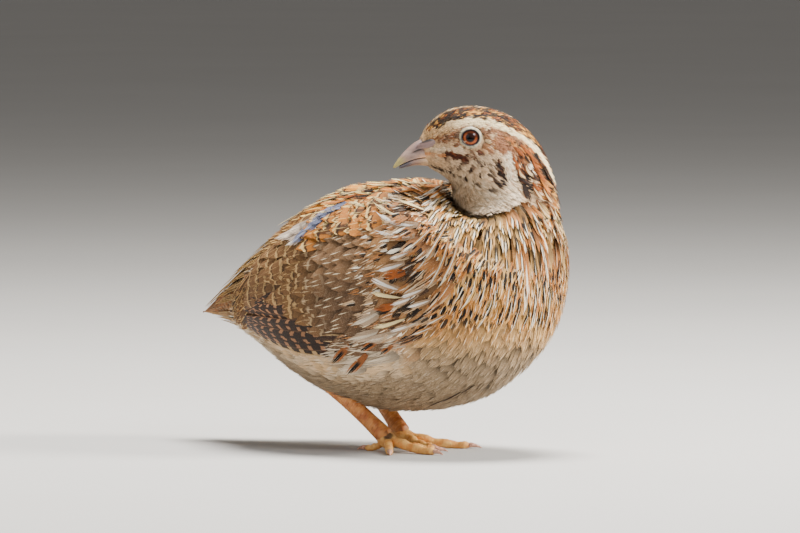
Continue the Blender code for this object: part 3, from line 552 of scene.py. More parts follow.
def skin_sheet():
    """The outline sunk by the coat's depth, ring after ring, coloured as the feathers that lie over it."""
    s = np.linspace(0, 20, 241)[:, None]
    angle = full_turn(120)[None, :]
    depth = np.interp(s, (0, 5, 8, 10, 18, 20), (0.25, 0.7, 1.2, 1.8, 1.5, 0.6)) + 0 * angle
    points = outline(s, angle, -depth)
    mesh = sheet_mesh("skin", points)
    places = outline(s, angle).reshape(-1, 3)
    chance = np.random.default_rng(3)
    looks = Looks(len(places))
    ring = (s + 0 * angle).reshape(-1)
    turn = ((angle + 0 * s + math.pi) % (2 * math.pi) - math.pi).reshape(-1)
    body_looks(looks, places[:, 0], -places[:, 1], places[:, 2], ring, turn, chance)
    f, z, side = head_measures(places)
    face_looks(looks, f, z, side, chance, fall(ring, 8.0, 8.8))
    colour = towards(looks.ground, looks.dark,
                     np.clip(0.45 * looks.spots + 0.6 * looks.centre + 0.3 * looks.bars, 0, 0.8))
    spread(mesh, "ground", colour)
    grid = np.stack((0.5 + turn / (2 * math.pi) * 0.98, 0.01 + ring / 20 * 0.98), -1)
    add_map(mesh, "OFBake", grid)
    return mesh


skin_finish = Finish("skin_under_feathers", 0.85, 0.2)
# Painted shade: cloudy noise darkens the skin's colour towards near black, for the shadow in the gaps
# between the feathers over it and on the wing pads.
shade = skin_finish.noise(900.0)
skin_finish.set("Base Color", skin_finish.blend(skin_finish.value("ground", "Color"), (0.03, 0.02, 0.015),
                                                shade * 0.7 + 0.05))
skin_finish.bump(skin_finish.noise(1500.0), 0.0003)
show("skin", skin_sheet(), skin_finish.material,
     ("head", "neck", "torso", "tail", "thigh_left", "thigh_right"))


# Small feathers
# Contour feathers: a round-ended vane on a short quill, rooted in the skin and lying towards the tail.
# They overlap like tiles in staggered rows, each with a pale shaft, side spots, bars or a fringe.

VANE_T = np.array((0.0, 0.24, 0.44, 0.60, 0.74, 0.86, 0.95, 1.0))
VANE_W = np.array((0.40, 0.74, 0.93, 1.0, 0.98, 0.86, 0.62, 0.30))
VANE_U = np.array((-1.0, -0.66, -0.3, 0.0, 0.3, 0.66, 1.0))


def sum_of(first, second):
    """The dot product of each pair of vectors."""
    return (first * second).sum(-1)


def tangents(place, a, b, step=0.02):
    """How far a point moves for one unit of each of the surface's measures, and the way out of it."""
    along = (place(a + step, b) - place(a - step, b)) / (2 * step)
    over = (place(a, b + step) - place(a, b - step)) / (2 * step)
    out = unit(place(a, b, 1.0) - place(a, b, 0.0))
    return along, over, out


def steps(along, over, way):
    """The change of both measures that moves a point by way, solved from the two tangents."""
    aa, bb, ab = sum_of(along, along) + 0.05, sum_of(over, over) + 0.05, sum_of(along, over)
    wa, wb = sum_of(way, along), sum_of(way, over)
    whole = aa * bb - ab * ab + 0.01
    return (wa * bb - wb * ab) / whole, (wb * aa - wa * ab) / whole


def sideways(place, root, tip):
    """For each feather, the change of both measures that moves its middle 1 mm to the side."""
    a, b = root[0] + 0.55 * (tip[0] - root[0]), root[1] + 0.55 * (tip[1] - root[1])
    small = np.abs(root[1]).max() < 3 and np.abs(root[0]).max() < 2
    along, over, out = tangents(place, a, b, 0.002 if small else 0.02)
    way = unit(along * (tip[0] - root[0])[:, None] + over * (tip[1] - root[1])[:, None])
    return steps(along, over, np.cross(out, way))


def feather_mesh(name, points, quads, vane, patch, looks):
    """The mesh of many feathers, with its two maps and each feather's colours and markings."""
    each = points[0].size // 3
    mesh = bpy.data.meshes.new(name)
    mesh.vertices.add(points.size // 3)
    mesh.vertices.foreach_set("co", ((points + PLACE) * MM).reshape(-1))
    mesh.loops.add(quads.size)
    mesh.loops.foreach_set("vertex_index", quads.reshape(-1))
    mesh.polygons.add(quads.size // 4)
    mesh.polygons.foreach_set("loop_start", np.arange(0, quads.size, 4))
    mesh.update(calc_edges=True)
    mesh.shade_smooth()
    add_map(mesh, "vane", vane.reshape(-1, 2))
    add_map(mesh, "OFBake", np.clip(patch, 0.001, 0.999).reshape(-1, 2))
    for colour in ("ground", "dark", "pale"):
        spread(mesh, colour, np.repeat(getattr(looks, colour), each, 0))
    spread(mesh, "marks_a", np.repeat(np.stack((looks.shaft, looks.shaft_width, looks.spots, looks.bars),
                                               -1), each, 0))
    spread(mesh, "marks_b", np.repeat(np.stack((looks.bar_count / 10, looks.fringe, looks.centre,
                                                looks.tone), -1), each, 0))
    return mesh


def outward(points, higher, quad, probe):
    """Turns the faces over where they look into the body."""
    flat = points[0].reshape(-1, 3)
    facing = np.cross(flat[quad[probe, 1]] - flat[quad[probe, 0]],
                      flat[quad[probe, 3]] - flat[quad[probe, 0]])
    return quad[:, ::-1] if facing @ (higher[0].reshape(-1, 3) - flat)[quad[probe, 0]] < 0 else quad


BAKE_PATCH = 0.003          # how wide a feather's own patch is on the unrolled body


def lay_feathers(name, place, root, tip, run, along, across, reach, tilt, rise, camber, corners, looks,
                 bake):
    """Feathers on a surface: each point lies at the root plus its run of the way to the tip plus its
    reach to the side, low (1 - along)^1.2 + high along^1.4 above it, less the camber times across^2."""
    spaced = (slice(None),) + (None,) * (along.ndim - 1)
    side_a, side_b = sideways(place, root, tip)
    a = root[0][spaced] + (tip[0] - root[0])[spaced] * run + side_a[spaced] * reach
    b = root[1][spaced] + (tip[1] - root[1])[spaced] * run + side_b[spaced] * reach
    low, high = (np.broadcast_to(np.asarray(v, float), root[0].shape)[spaced] for v in rise)
    droop = camber * across ** 2 * (0.3 + 0.7 * along)
    height = low * np.clip(1 - along, 0, 1) ** 1.2 + high * along ** 1.4 - droop + tilt
    points = place(a, b, height)
    quad = outward(points, place(a, b, height + 1), corners, len(corners) // 2)
    quads = (np.arange(len(points))[:, None, None] * (points[0].size // 3) + quad[None]).reshape(-1, 4)
    vane = np.stack(np.broadcast_arrays(0.5 + 0.5 * np.clip(across, -1, 1), np.clip(along, 0, 1)), -1)
    vane = vane + np.zeros((*points.shape[:-1], 1))
    patch = bake(*root)[spaced] + BAKE_PATCH / 2 * (2 * vane - 1)
    return feather_mesh(name, points, quads, vane, patch, looks)


def lay_vanes(name, place, root, tip, half, looks, bake, chance, rise, camber, t, w, u, fray):
    """Whole vanes: the middle line runs from root to tip, and the width follows w."""
    n, rows, columns = len(half), len(t), len(u)
    along, across = t[None, :, None], u[None, None, :]
    rough = chance.uniform(-1, 1, (n, rows, columns)) * np.abs(across) * fray
    run = along - 0.13 * np.abs(across) ** 2.2 * along ** 3 + rough * along
    reach = across * half[:, None, None] * w[None, :, None]
    tilt = chance.uniform(-0.12, 0.12, (n, 1, 1)) + chance.uniform(-0.10, 0.10, (n, 1, 1)) * across
    first = (np.arange(rows - 1)[:, None] * columns + np.arange(columns - 1)).reshape(-1)
    corners = np.stack((first, first + 1, first + columns + 1, first + columns), -1)
    return lay_feathers(name, place, root, tip, run, along, across, reach, tilt, rise, camber, corners,
                        looks, bake)


def lay_tufts(name, place, root, tip, half, looks, bake, chance, rise, camber=0.3, blades=7,
              t=(0.12, 0.42, 0.68, 0.88, 1.0), loose=0.07):
    """Soft feathers as bundles of barbs: narrow blades spread from the quill, each to its own point."""
    n, rows = len(half), len(t)
    middle = np.linspace(-0.84, 0.84, blades)[None, :] + chance.uniform(-0.06, 0.06, (n, blades))
    end = 1 - 0.22 * np.abs(middle) ** 1.6 + chance.uniform(-loose, loose, (n, blades))
    along = np.asarray(t)[None, None, :, None] * end[:, :, None, None]
    stray = chance.normal(0, loose, (n, blades))[:, :, None, None] * along ** 2
    centre = middle[:, :, None, None] * np.interp(along, VANE_T, VANE_W) / 0.9 + stray
    thin = np.interp(np.asarray(t), (0, 0.4, 0.7, 0.9, 1),
                     (0.9, 1.05, 0.95, 0.62, 0.05))[None, None, :, None]
    across = centre + np.array((-1.0, 1.0)) * thin * 1.22 / blades
    along = along + 0 * across
    level = (chance.uniform(-0.5, 0.5, (n, blades, 1, 1)) * camber * along
             + chance.uniform(-0.12, 0.12, (n, 1, 1, 1)))
    reach = across * half[:, None, None, None]
    first = (np.arange(blades)[:, None] * rows * 2 + np.arange(rows - 1) * 2).reshape(-1)
    corners = np.stack((first, first + 1, first + 3, first + 2), -1)
    return lay_feathers(name, place, root, tip, along, along, across, reach, level, rise, camber, corners,
                        looks, bake)


# soft is the share of painted shade that darkens each feather towards its root, where the feathers over it
# lie.
def feather_finish(name, barbs, rough=0.72, wavy=0.05, soft=1.0, notched=False, dash=0.45, tip=0.90,
                   slant=0.10):
    """Barb lines sweep out from the shaft; the vane's own map places shaft, spots, bars, fringe and painted
    shade at the root.
    """
    made = Finish(name, rough, 0.25)
    split = {"Vector": made.node("UVMap", {"uv_map": "vane"})}
    u = (made.node("SeparateXYZ", None, split, 0) - 0.5) * 2.0
    v = made.node("SeparateXYZ", None, split, 1)
    wide = abs(u)
    marks_a, marks_b = made.value("marks_a", "Color"), made.value("marks_b", "Color")
    shaft, shaft_width, spots = (made.node("SeparateColor", None, {0: marks_a}, k) for k in range(3))
    bars = made.value("marks_a", "Alpha")
    bar_count, fringe, centre = (made.node("SeparateColor", None, {0: marks_b}, k) for k in range(3))
    tone = made.value("marks_b", "Alpha")
    ground, dark, pale = (made.value(kind, "Color") for kind in ("ground", "dark", "pale"))
    wobble = (made.noise(700.0, 2.0) - 0.5) * 2.0
    fine = made.noise(2600.0, 2.0) - 0.5
    edge = wide + wobble * 0.12 + fine * 0.25
    barb = ((v - wide * 0.45) * (barbs * 6.28) + wobble * 2.0 + tone * 40.0).sine()
    colour = made.blend(ground, pale, (fine + 0.02).larger(0.0) * 0.5)
    # Painted shade: the lower half of each vane darkens towards its dark colour, where the feathers above
    # cover it.
    colour = made.blend(colour, dark, (0.5 - v).larger(0.0) * 0.5)
    phase = (v - wide * slant + wobble * wavy) * bar_count * 62.8 + tone * 6.0
    if notched:
        square = phase.sine().step(0.35, 0.7) * (edge - 0.15).step(0.0, 0.12) * (0.92 - edge).step(0.0, 0.1)
        colour = made.blend(colour, pale, square * bars)
    else:
        colour = made.blend(colour, dark, (phase + 0.9).sine().step(0.65, 0.92) * bars)
        colour = made.blend(colour, pale, phase.sine().step(0.72, 0.92) * bars)
    middle = (0.62 - edge).step(0.0, 0.22) * (tip - v + wobble * 0.06).step(0.0, 0.08) * v.step(0.3, 0.5)
    colour = made.blend(colour, dark, middle * centre)
    apart = u * (tone - 0.5).step(-0.04, 0.04) * 2.0 - u
    reach_u, reach_v = (apart - 0.30 + wobble * 0.06) / 0.29, (v - 0.78 + fine * 0.06) / 0.17
    spot = (1.2 - (reach_u * reach_u + reach_v * reach_v)).step(0.0, 0.25)
    reach_u, reach_v = (apart + 0.36 + wobble * 0.06) / 0.20, (v - 0.70 + fine * 0.06) / 0.12
    spot = spot.larger((1.1 - (reach_u * reach_u + reach_v * reach_v)).step(0.0, 0.25) * 0.9)
    colour = made.blend(colour, dark, spot * spots)
    rim = edge.larger((v - 0.72) * 3.2 + fine * 0.3).step(0.74, 0.94)
    colour = made.blend(colour, pale, rim * fringe)
    width = shaft_width * (0.35 + v) * v.step(dash, dash + 0.3) * (1.0 - v.step(0.86, 1.0) * 0.9)
    line = (width - wide + fine * 0.08 + wobble * 0.02).step(-0.01, 0.05) * v.step(dash, dash + 0.06)
    colour = made.blend(colour, pale, line * shaft)
    # The brightness that multiplies the colour: random tone, barb lines and fine noise, times painted shade
    # towards each covered root by the share soft.
    light = 0.80 + tone * 0.22 + barb * 0.06 + fine * 0.36
    light = light * (1.0 - soft + soft * (0.30 + 0.70 * v.step(0.32, 0.86)))
    grey = made.node("CombineColor", None, {0: light, 1: light, 2: light})
    made.set("Base Color", made.blend(colour, grey, 1.0, "MULTIPLY"))
    made.bump(barb * 0.4 + fine * 0.8 + (0.1 - wide).larger(0.0) * 4.0, 0.0001, 0.6)
    return made.material


def staggered(rings, angles, along, across, chance):
    """Roots in staggered rows: rows a set way apart along the body, roots evenly spaced round each row."""
    found_s, found_a = [], []
    fine = np.linspace(angles[0], angles[1], 160)
    s, k = rings[0], 0
    while s < rings[1]:
        reach = (np.linalg.norm(outline(s + 0.05, fine) - outline(max(s - 0.05, 0), fine),
                                axis=-1) / (0.1 if s > 0.05 else 0.05 + s))
        usual = np.percentile(reach, 80)
        here = outline(s, fine)
        length = np.concatenate(([0], np.cumsum(np.linalg.norm(np.diff(here, axis=0), axis=-1))))
        count = max(int(length[-1] / across), 1)
        at = ((np.arange(count) + 0.25 + 0.5 * (k % 2) + chance.uniform(-0.16, 0.16, count))
              * length[-1] / count)
        angle = np.interp(at, length, fine)
        keep = chance.random(count) < np.interp(angle, fine, reach) / (0.85 * usual)
        found_s.append((s + chance.uniform(-0.2, 0.2, count) * along / usual)[keep])
        found_a.append(angle[keep])
        s, k = s + along / usual, k + 1
    return np.concatenate(found_s), np.concatenate(found_a)


def rows_of(rows, count):
    """The row and the place in its row of every feather of an even field."""
    return (v.reshape(-1) for v in np.meshgrid(np.arange(rows), np.arange(count), indexing="ij"))


def body_bake(s, angle):
    """The body unrolled to a square: the turn round the body across it, the ring up it."""
    turn = (angle + math.pi) % (2 * math.pi) - math.pi
    return np.stack((0.5 + turn / (2 * math.pi) * 0.98, 0.01 + np.clip(s, 0, 20) / 20 * 0.98), -1)


FAN = head_point(6.0, 90.0)     # the breast's feathers fan out from the throat


def coat(name, rings, angles, along, across, length, width, rise, seed, finish, slot, swing=0.10, fan=0.0,
         skip=None, repaint=None, **form):
    """A patch of coat: staggered roots, feathers laid tailwards, or from the throat by the share fan."""
    chance = np.random.default_rng(seed)
    s, angle = staggered(rings, [math.radians(v) for v in angles], along, across, chance)
    if skip is not None:
        keep = ~skip(s, angle)
        s, angle = s[keep], angle[keep]
    given = ([v(s, angle) if callable(v) else v for v in (length, width, fan)]
             + [v(s, angle) if callable(v) else v for v in rise])
    length, width, fan, low, high = (np.broadcast_to(np.asarray(v, float), s.shape) for v in given)
    tail, over, out = tangents(outline, s, angle)
    places = outline(s, angle)
    away = unit(places - FAN) + (0, 0, -0.35)
    away = unit(away - out * sum_of(away, out)[:, None])
    way = unit(unit(tail) * (1 - fan)[:, None] + away * fan[:, None])
    turn = chance.normal(0, swing, len(s))[:, None]
    way = way * np.cos(turn) + np.cross(out, way) * np.sin(turn)
    size = chance.uniform(0.9, 1.12, len(s))
    ds, da = steps(tail, over, way * (length * size)[:, None])
    shrink = np.minimum(1, 1.6 / np.maximum(np.abs(ds), 1e-6))
    tip = (np.clip(s + ds * shrink, 0, 20), angle + da * shrink)
    seen = (s + 0.72 * (tip[0] - s), angle + 0.72 * (tip[1] - angle))
    places = outline(*seen)
    looks = Looks(len(s))
    round_ = (seen[1] + math.pi) % (2 * math.pi) - math.pi
    body_looks(looks, places[:, 0], -places[:, 1], places[:, 2], seen[0], round_, chance)
    f, z, across_head = head_measures(places)
    face_looks(looks, f, z, across_head, chance, fall(seen[0], 8.0, 8.8))
    if repaint:
        repaint(looks, places, seen[0], round_, chance)
    mesh = lay_tufts(name, outline, (s, angle), tip, width * size, looks, body_bake, chance, (low, high),
                     **form)
    return show(name, mesh, finish)


body_finish = feather_finish("body_feathers", 12.0)
breast_finish = feather_finish("breast_feathers", 12.0, dash=0.58)
back_finish = feather_finish("back_feathers", 12.0, dash=0.30, tip=1.04)
head_finish = feather_finish("head_feathers", 4.0, soft=0.6, tip=1.0)


def fan_share(s, angle):
    """All of the flow fans from the throat on the neck, less and less of it down the breast and back."""
    return fall(s, 10.6, 12.6) * between(s, 6.6, 7.6)


def over_wing(s, angle):
    """Feathers by the wing's front lie higher, up on to the wing."""
    turn = np.abs((angle + math.pi) % (2 * math.pi) - math.pi)
    return 0.3 + 1.7 * between(s, 10.6, 12.4) * between(turn, 0.55, 0.85) * fall(turn, 1.9, 2.2)


coat("belly_coat", (12.6, 17.4), (112, 248), 3.0, 2.6, 10.5, 2.6, (-1.6, 0.2), 21, body_finish,
     "belly_feathers", 0.12, loose=0.10)
coat("breast_coat", (9.9, 12.8), (55, 305), 3.8, 2.7, 9.4, 1.95, (-1.7, over_wing), 22, breast_finish,
     "breast_feathers", 0.09, fan_share)
coat("flank_right_coat", (12.6, 16.8), (238, 300), 3.2, 2.6, 10.0, 2.1, (-1.6, 0.3), 23, body_finish,
     "breast_feathers")
coat("flank_left_coat", (12.6, 16.8), (60, 122), 3.2, 2.6, 10.0, 2.1, (-1.6, 0.3), 24, body_finish,
     "breast_feathers")


def under_throat(s, angle):
    """True where the throat's own sheet of feathers or the back's covers the neck's foot."""
    turn = np.degrees(angle) % 360
    mantle = (s > 10.2) & (np.abs((turn + 180) % 360 - 180) < 40)
    return mantle | (s > 7.0) & (s < 10.3) & (turn > 172 - 26 * (s - 7.0)) & (turn < 322)


coat("neck_coat", (6.9, 11.0), (0, 360), 3.2, 2.5, 8.2, 1.75, (-1.3, 0.5), 26, breast_finish,
     "neck_feathers", 0.10, fan_share, skip=under_throat, blades=7)


def off_mantle(s, angle):
    """True for the sides of the neck's foot, where the small neck feathers reach further back."""
    turn = np.abs((angle + math.pi) % (2 * math.pi) - math.pi)
    return (s < 11.4) & (turn > 0.75 + 0.3 * (s - 9.6))


coat("back_coat", (9.6, 15.4), (-62, 62), 4.4, 3.6, 13.0, 2.7, (-1.6, 0.7), 25, back_finish,
     "breast_feathers", 0.10, lambda s, angle: 0.4 * fan_share(s, angle), skip=off_mantle, blades=9,
     loose=0.03)
coat("rump_coat", (15.0, 16.3), (-70, 70), 3.6, 2.8, 10.5, 2.0, (-1.6, 0.6), 28, back_finish,
     "breast_feathers", 0.06, loose=0.03)


def off_eye(s, angle):
    """True where a root would sit on an eye, its lids or the skin over a nostril."""
    f, z, side = head_measures(outline(s, angle))
    flap = (f > 20.2) & (f < 25.5) & (np.abs(z - 96.6 + 0.3 * (f - 22.9)) < 1.1)
    return (np.hypot(f - EYE_F - 0.35, z - EYE_Z) < 3.75) | flap


def on_crown(s, angle):
    """True for the crown, the nape and the mottled side of the neck, where the feathers are larger."""
    f, z, side = head_measures(outline(s, angle))
    above = np.interp(-f, [-p[0] for p in BROW], [p[1] for p in BROW])
    return ((z > above + 0.4) | (f < -14.6) | ((f < -5.0) & (z < 95.5 - 0.4 * (f + 5.0)) & (z > 78.0)
                                               & (z < above - 1.4) & (s > 3)))


def by_ring(*values):
    """A measure that grows down the head: straight lines between its values at rings 0, 2, 5 and 7."""
    return lambda s, angle: np.interp(s, (0, 2, 5, 7), values)


coat("head_coat", (0.25, 7.0), (0, 360), 0.75, 0.70, by_ring(1.6, 2.4, 3.2, 4.4),
     by_ring(0.36, 0.46, 0.6, 0.9), (-0.5, 0.10), 27, head_finish, "face_feathers", 0.08, skip=lambda s,
     angle: off_eye(s, angle) | on_crown(s, angle), camber=0.10, blades=3, t=(0.1, 0.55, 0.85, 1.0))
coat("crown_coat", (0.6, 7.2), (0, 360), 1.15, 0.95, by_ring(2.0, 2.9, 3.9, 4.8),
     by_ring(0.5, 0.62, 0.72, 0.9), (-0.6, 0.18), 29, head_finish, "face_feathers", 0.12, skip=lambda s,
     angle: off_eye(s, angle) | ~on_crown(s, angle), camber=0.12, blades=3, t=(0.1, 0.5, 0.8, 1.0))


# The throat's loose feathers bulge forward over the breast's top, which starts beneath their edge. They are
# rows of tufts laid on one sheet of control points, from the chin to the breast.
BIB_EDGE = ((14.2, -11.6, 84.9), (8.7, -13.0, 82.7), (2.2, -18.0, 79.6), (-5.2, -25.0, 77.0),
            (-9.9, -31.8, 75.6), (-11.4, -38.0, 74.9), (-10.1, -42.6, 75.3), (-7.2, -45.9, 76.3),
            (-4.0, -48.1, 77.8), (0.6, -48.7, 79.8))
CHIN_TURN = np.radians((262, 246, 231, 213, 191, 171, 150, 131, 115, 101))
BREAST_TURN = np.radians((318, 298, 275, 262, 252, 238, 221, 206, 190, 172))
THROAT_RINGS = (3.0, 5.0, 7.8, 9.2, 10.5, 11.6, 12.7)


def throat_points():
    """Rows of points: chin, jaw, the bib's edge, a bulging row half way down, and three on the breast."""
    edge, rim = np.array(BIB_EDGE), outline(10.5, BREAST_TURN, 0.2)
    out = unit(unit(outline(10.5, BREAST_TURN, 1.0) - outline(10.5, BREAST_TURN)) + (0, 0, 0.6))
    return np.stack((outline(3.0, CHIN_TURN, -0.6), outline(5.0, CHIN_TURN, 0.7), edge,
                     (edge + rim) / 2 + out * 1.3, rim, outline(11.6, BREAST_TURN, 0.2),
                     outline(12.7, BREAST_TURN, 0.2)))


THROAT = throat_points()


def cubic(place, count):
    """The four neighbours of each place along a row of points and their weights, for a smooth curve."""
    i = np.clip(np.floor(place).astype(int), 0, count - 2)
    t = place - i
    weights = (-0.5 * t + t ** 2 - 0.5 * t ** 3, 1 - 2.5 * t ** 2 + 1.5 * t ** 3,
               0.5 * t + 2 * t ** 2 - 1.5 * t ** 3, 0.5 * (t ** 3 - t ** 2))
    return [np.clip(i + k, 0, count - 1) for k in (-1, 0, 1, 2)], weights


def throat_place(a, b, height=0.0):
    """A point of the throat's sheet: a counts its rows, b its columns, height goes out of it."""
    a, b, height = alike(a, b, height)

    def flat(a, b):
        """A point of the sheet itself: 4 x 4 control points, each by its row's and column's weight."""
        (rows, down), (columns, along) = cubic(a, len(THROAT)), cubic(b, len(BIB_EDGE))
        weighed = [THROAT[r, c] * (v * w)[..., None] for r, v in zip(rows, down) for c,
                   w in zip(columns, along)]
        return sum(weighed)

    out = unit(np.cross(flat(a, b + 0.05) - flat(a, b - 0.05), flat(a + 0.05, b) - flat(a - 0.05, b)))
    return flat(a, b) - out * height[..., None]


def throat_bake(a, b):
    """The sheet's place on the unrolled body: its row gives the ring, its column the turn."""
    chin, breast = (np.interp(b, np.arange(len(turns)), turns) for turns in (CHIN_TURN, BREAST_TURN))
    ring = np.interp(a, np.arange(len(THROAT_RINGS)), THROAT_RINGS)
    return body_bake(ring, chin + (breast - chin) * between(a, 2, 4))


def throat_tufts(name, first, last, rows, count, reach, half, rise, seed, finish, slot, paint, stray=0.04,
                 **form):
    """Staggered rows of tufts from the sheet's first row to its last, each reaching down by reach rows."""
    chance = np.random.default_rng(seed)
    row, one = rows_of(rows, count)
    a = first + (last - first) * row / (rows - 1) + chance.uniform(-stray, stray, len(row))
    b = ((one + 0.1 + 0.5 * (row % 2) + chance.uniform(-0.16 - stray, 0.16 + stray, len(row)))
         * (len(BIB_EDGE) - 1) / count)
    tip = (a + reach * chance.uniform(0.9, 1.1, len(row)), b + chance.normal(0, 0.08, len(row)))
    looks = Looks(len(row))
    paint(looks, a, b, throat_place(a + 0.72 * (tip[0] - a), b), chance)
    looks.tone = chance.random(len(row))
    mesh = lay_tufts(name, throat_place, (a, b), tip, half * chance.uniform(0.9, 1.1, len(row)), looks,
                     throat_bake, chance, rise, **form)
    show(name, mesh, finish)


def bib_looks(looks, a, b, seen, chance):
    """The head's own markings above, then off-white, with painted shade on a few tips along the lower edge.
    """
    mix, other = chance.random(len(a)), chance.random(len(a))
    face_looks(looks, *head_measures(seen), chance, 1.0)
    looks.paint(between(a, 1.0, 1.25) * fall(b, 7.5, 8.5),
                ground=towards(srgb(0.77, 0.66, 0.52), WHITE, mix * 0.4), dark=TAUPE, pale=WHITE, shaft=0.4,
                shaft_width=0.1, centre=0.0)
    # Painted shade: a few tips along the bib's lower edge are darkened where it overhangs the breast.
    looks.paint(between(a, 1.62, 1.68) * (other < 0.2), ground=srgb(0.30, 0.22, 0.16))


def ruff_looks(looks, a, b, seen, chance):
    """Golden buff, white shafts between dark streaks; orange at one end, black and cream at the other, the
    cream partly painted light.
    """
    mix, other = chance.random(len(a)), chance.random(len(a))
    looks.paint(1.0, ground=towards(srgb(0.78, 0.54, 0.24), srgb(0.88, 0.72, 0.44), other), dark=BLACK,
                pale=WHITE, shaft=1.0, shaft_width=np.where(other > 0.6, 0.22, 0.11), spots=mix < 0.85,
                centre=(mix < 0.40) * 0.9)
    looks.paint(between(b, 6.6, 7.4) * (mix > 0.4), ground=srgb(0.80, 0.50, 0.22), shaft_width=0.30)
    looks.paint(fall(b, 0.6, 1.8) * (mix < 0.20), ground=srgb(0.16, 0.11, 0.08), shaft_width=0.20)
    # By the crease under the bib: lighter orange and cream grounds with broad white shafts, partly the
    # streaks there and partly painted light against the head's shadow.
    looks.paint(fall(b, 1.5, 3.4) * (mix > 0.40),
                ground=towards(srgb(0.92, 0.60, 0.26), CREAM, other > 0.6), shaft_width=0.34)


throat_tufts("throat_bib", 1.70, 0.36, 14, 40, 0.36, 0.85, (-0.6, 0.5), 30, head_finish, "face_feathers",
             bib_looks, blades=5, camber=0.2, loose=0.12)


# Plumes that stand out from their neighbours, seen one by one on the bird: kind, half width in millimetres,
# ring and degrees of the root, ring and degrees of the tip. Both sides of the body carry them, but the down
# that shows where the back's feathers part is on the right alone.
PLUMES = (
    ("cream", 0.7, 10.7, -21, 12.95, -10), ("cream", 0.7, 12.1, -20, 13.6, -18),
    ("cream", 0.6, 13.3, -20, 14.5, -27), ("cream", 0.6, 14.4, -26, 15.55, -33),
    ("cream", 0.6, 15.45, -33, 16.55, -33), ("black", 0.9, 12.2, -26, 13.35, -30),
    ("black", 0.9, 12.85, -29, 13.8, -32), ("rufous", 0.7, 11.7, -36, 13.25, -36),
    ("rufous", 0.7, 13.6, -25, 14.3, -31), ("orange", 0.8, 11.35, -31, 12.75, -27),
    ("orange", 0.8, 10.65, -31, 11.6, -36), ("orange", 0.7, 14, -31, 14.65, -37),
    ("cream", 0.7, 10.2, -76, 11.4, -47), ("cream", 0.7, 11.05, -54, 12.65, -38),
    ("cream", 0.7, 12.25, -40, 13.65, -39), ("cream", 0.6, 13.45, -38, 14.5, -46),
    ("cream", 0.7, 11.15, -66, 12.45, -44), ("cream", 0.6, 12.3, -46, 13.4, -40),
    ("white", 1.2, 11.05, -78, 12.25, -53), ("white", 0.9, 11.35, -81, 12.35, -63),
    ("black", 0.8, 9.35, -34, 9.55, -77), ("black", 0.6, 10, -15, 9.85, -53),
    ("white", 0.6, 9.7, -27, 9.9, -40), ("white", 0.5, 9.85, -19, 10.0, -28),
    ("white", 0.6, 9.5, -50, 10.2, -66), ("black", 0.8, 9.65, -40, 10.0, -60),
    ("white", 0.6, 9.5, -62, 10.25, -79), ("orange", 0.8, 10.4, -11, 10.6, -28),
    ("black", 0.6, 10.25, -23, 10.45, -36), ("cream", 0.6, 10.65, -7, 10.85, -22),
    ("black", 0.8, 11.4, -35, 12.1, -35), ("black", 0.7, 13.2, -23, 13.6, -25),
    ("cream", 0.6, 14.5, -17, 14.95, -25), ("cream", 0.6, 12.45, -18, 13.35, -19),
    ("black", 0.7, 14.1, -24, 14.35, -28),
    ("white", 0.4, 9.05, -69, 10.3, -73), ("spotted", 0.5, 10.7, -96, 12.1, -95),
    ("spotted", 0.5, 10.65, -103, 11.95, -106), ("spotted", 0.5, 10.1, -98, 11.6, -95),
    ("spotted", 0.5, 10.65, -88, 11.8, -83), ("spotted", 0.5, 10.6, -111, 11.7, -110),
    ("part", 0.3, 12.7, -164, 13, -162),
    ("part", 0.3, 12.9, -162, 13.25, -161), ("part", 0.3, 13.15, -162, 13.55, -163),
    ("down", 1.2, 13.5, -36, 13.95, -44), ("down", 1.4, 13.8, -35, 14.25, -45),
    ("down", 1.5, 13.9, -39, 14.4, -48), ("down", 1.5, 14.05, -42, 14.55, -52),
    ("down", 1.5, 14.2, -45, 14.65, -56), ("down", 1.5, 14.35, -48, 14.8, -59),
    ("down", 1.4, 14.5, -51, 14.95, -62), ("fluff", 1.5, 14.65, -49, 15.2, -55),
    ("fluff", 1.5, 14.85, -51, 15.35, -58), ("fluff", 1.4, 14.65, -55, 15.1, -63),
    ("fluff", 1.3, 15.05, -53, 15.6, -58),
)
NAPE_PLUMES = (
    ("rufous", 0.8, 5.6, -60, 6.4, -60), ("rufous", 0.8, 5.8, -52, 6.65, -50),
    ("rufous", 0.8, 6.2, -49, 7.05, -49), ("rufous", 0.7, 5.85, -71, 6.7, -73),
    ("dark", 0.6, 6.3, -57, 6.9, -56), ("drop", 0.8, 6.5, -71, 7.15, -76),
    ("drop", 0.9, 6.6, -61, 7.3, -69), ("dark", 0.8, 6.6, -39, 7.4, -47),
    ("rufous", 0.7, 6.7, -50, 7.35, -58), ("dark", 0.8, 7.25, -44, 8, -64),
    ("rufous", 0.7, 7.2, -58, 7.85, -71), ("dark", 0.7, 7, -61, 7.55, -73),
    ("dark", 0.9, 6.8, -76, 7.5, -81), ("rufous", 0.6, 7.4, -75, 7.95, -87),
    ("dark", 0.9, 7.25, -81, 8, -106), ("drop", 0.7, 7.5, -80, 8.15, -96),
    ("drop", 0.7, 7.75, -76, 8.5, -97), ("dark", 0.7, 7.7, -55, 8.45, -74),
    ("drop", 0.7, 8, -97, 8.85, -123), ("drop", 0.7, 7.9, -105, 8.65, -128),
    ("drop", 0.7, 8.4, -97, 9.3, -124), ("dark", 0.6, 8.35, -70, 9.15, -91),
    ("drop", 0.7, 8.7, -123, 9.65, -149), ("drop", 0.6, 9.15, -123, 10, -145),
    ("orange", 0.7, 7.5, -66, 8.2, -83), ("orange", 0.7, 8.1, -107, 8.9, -131),
)
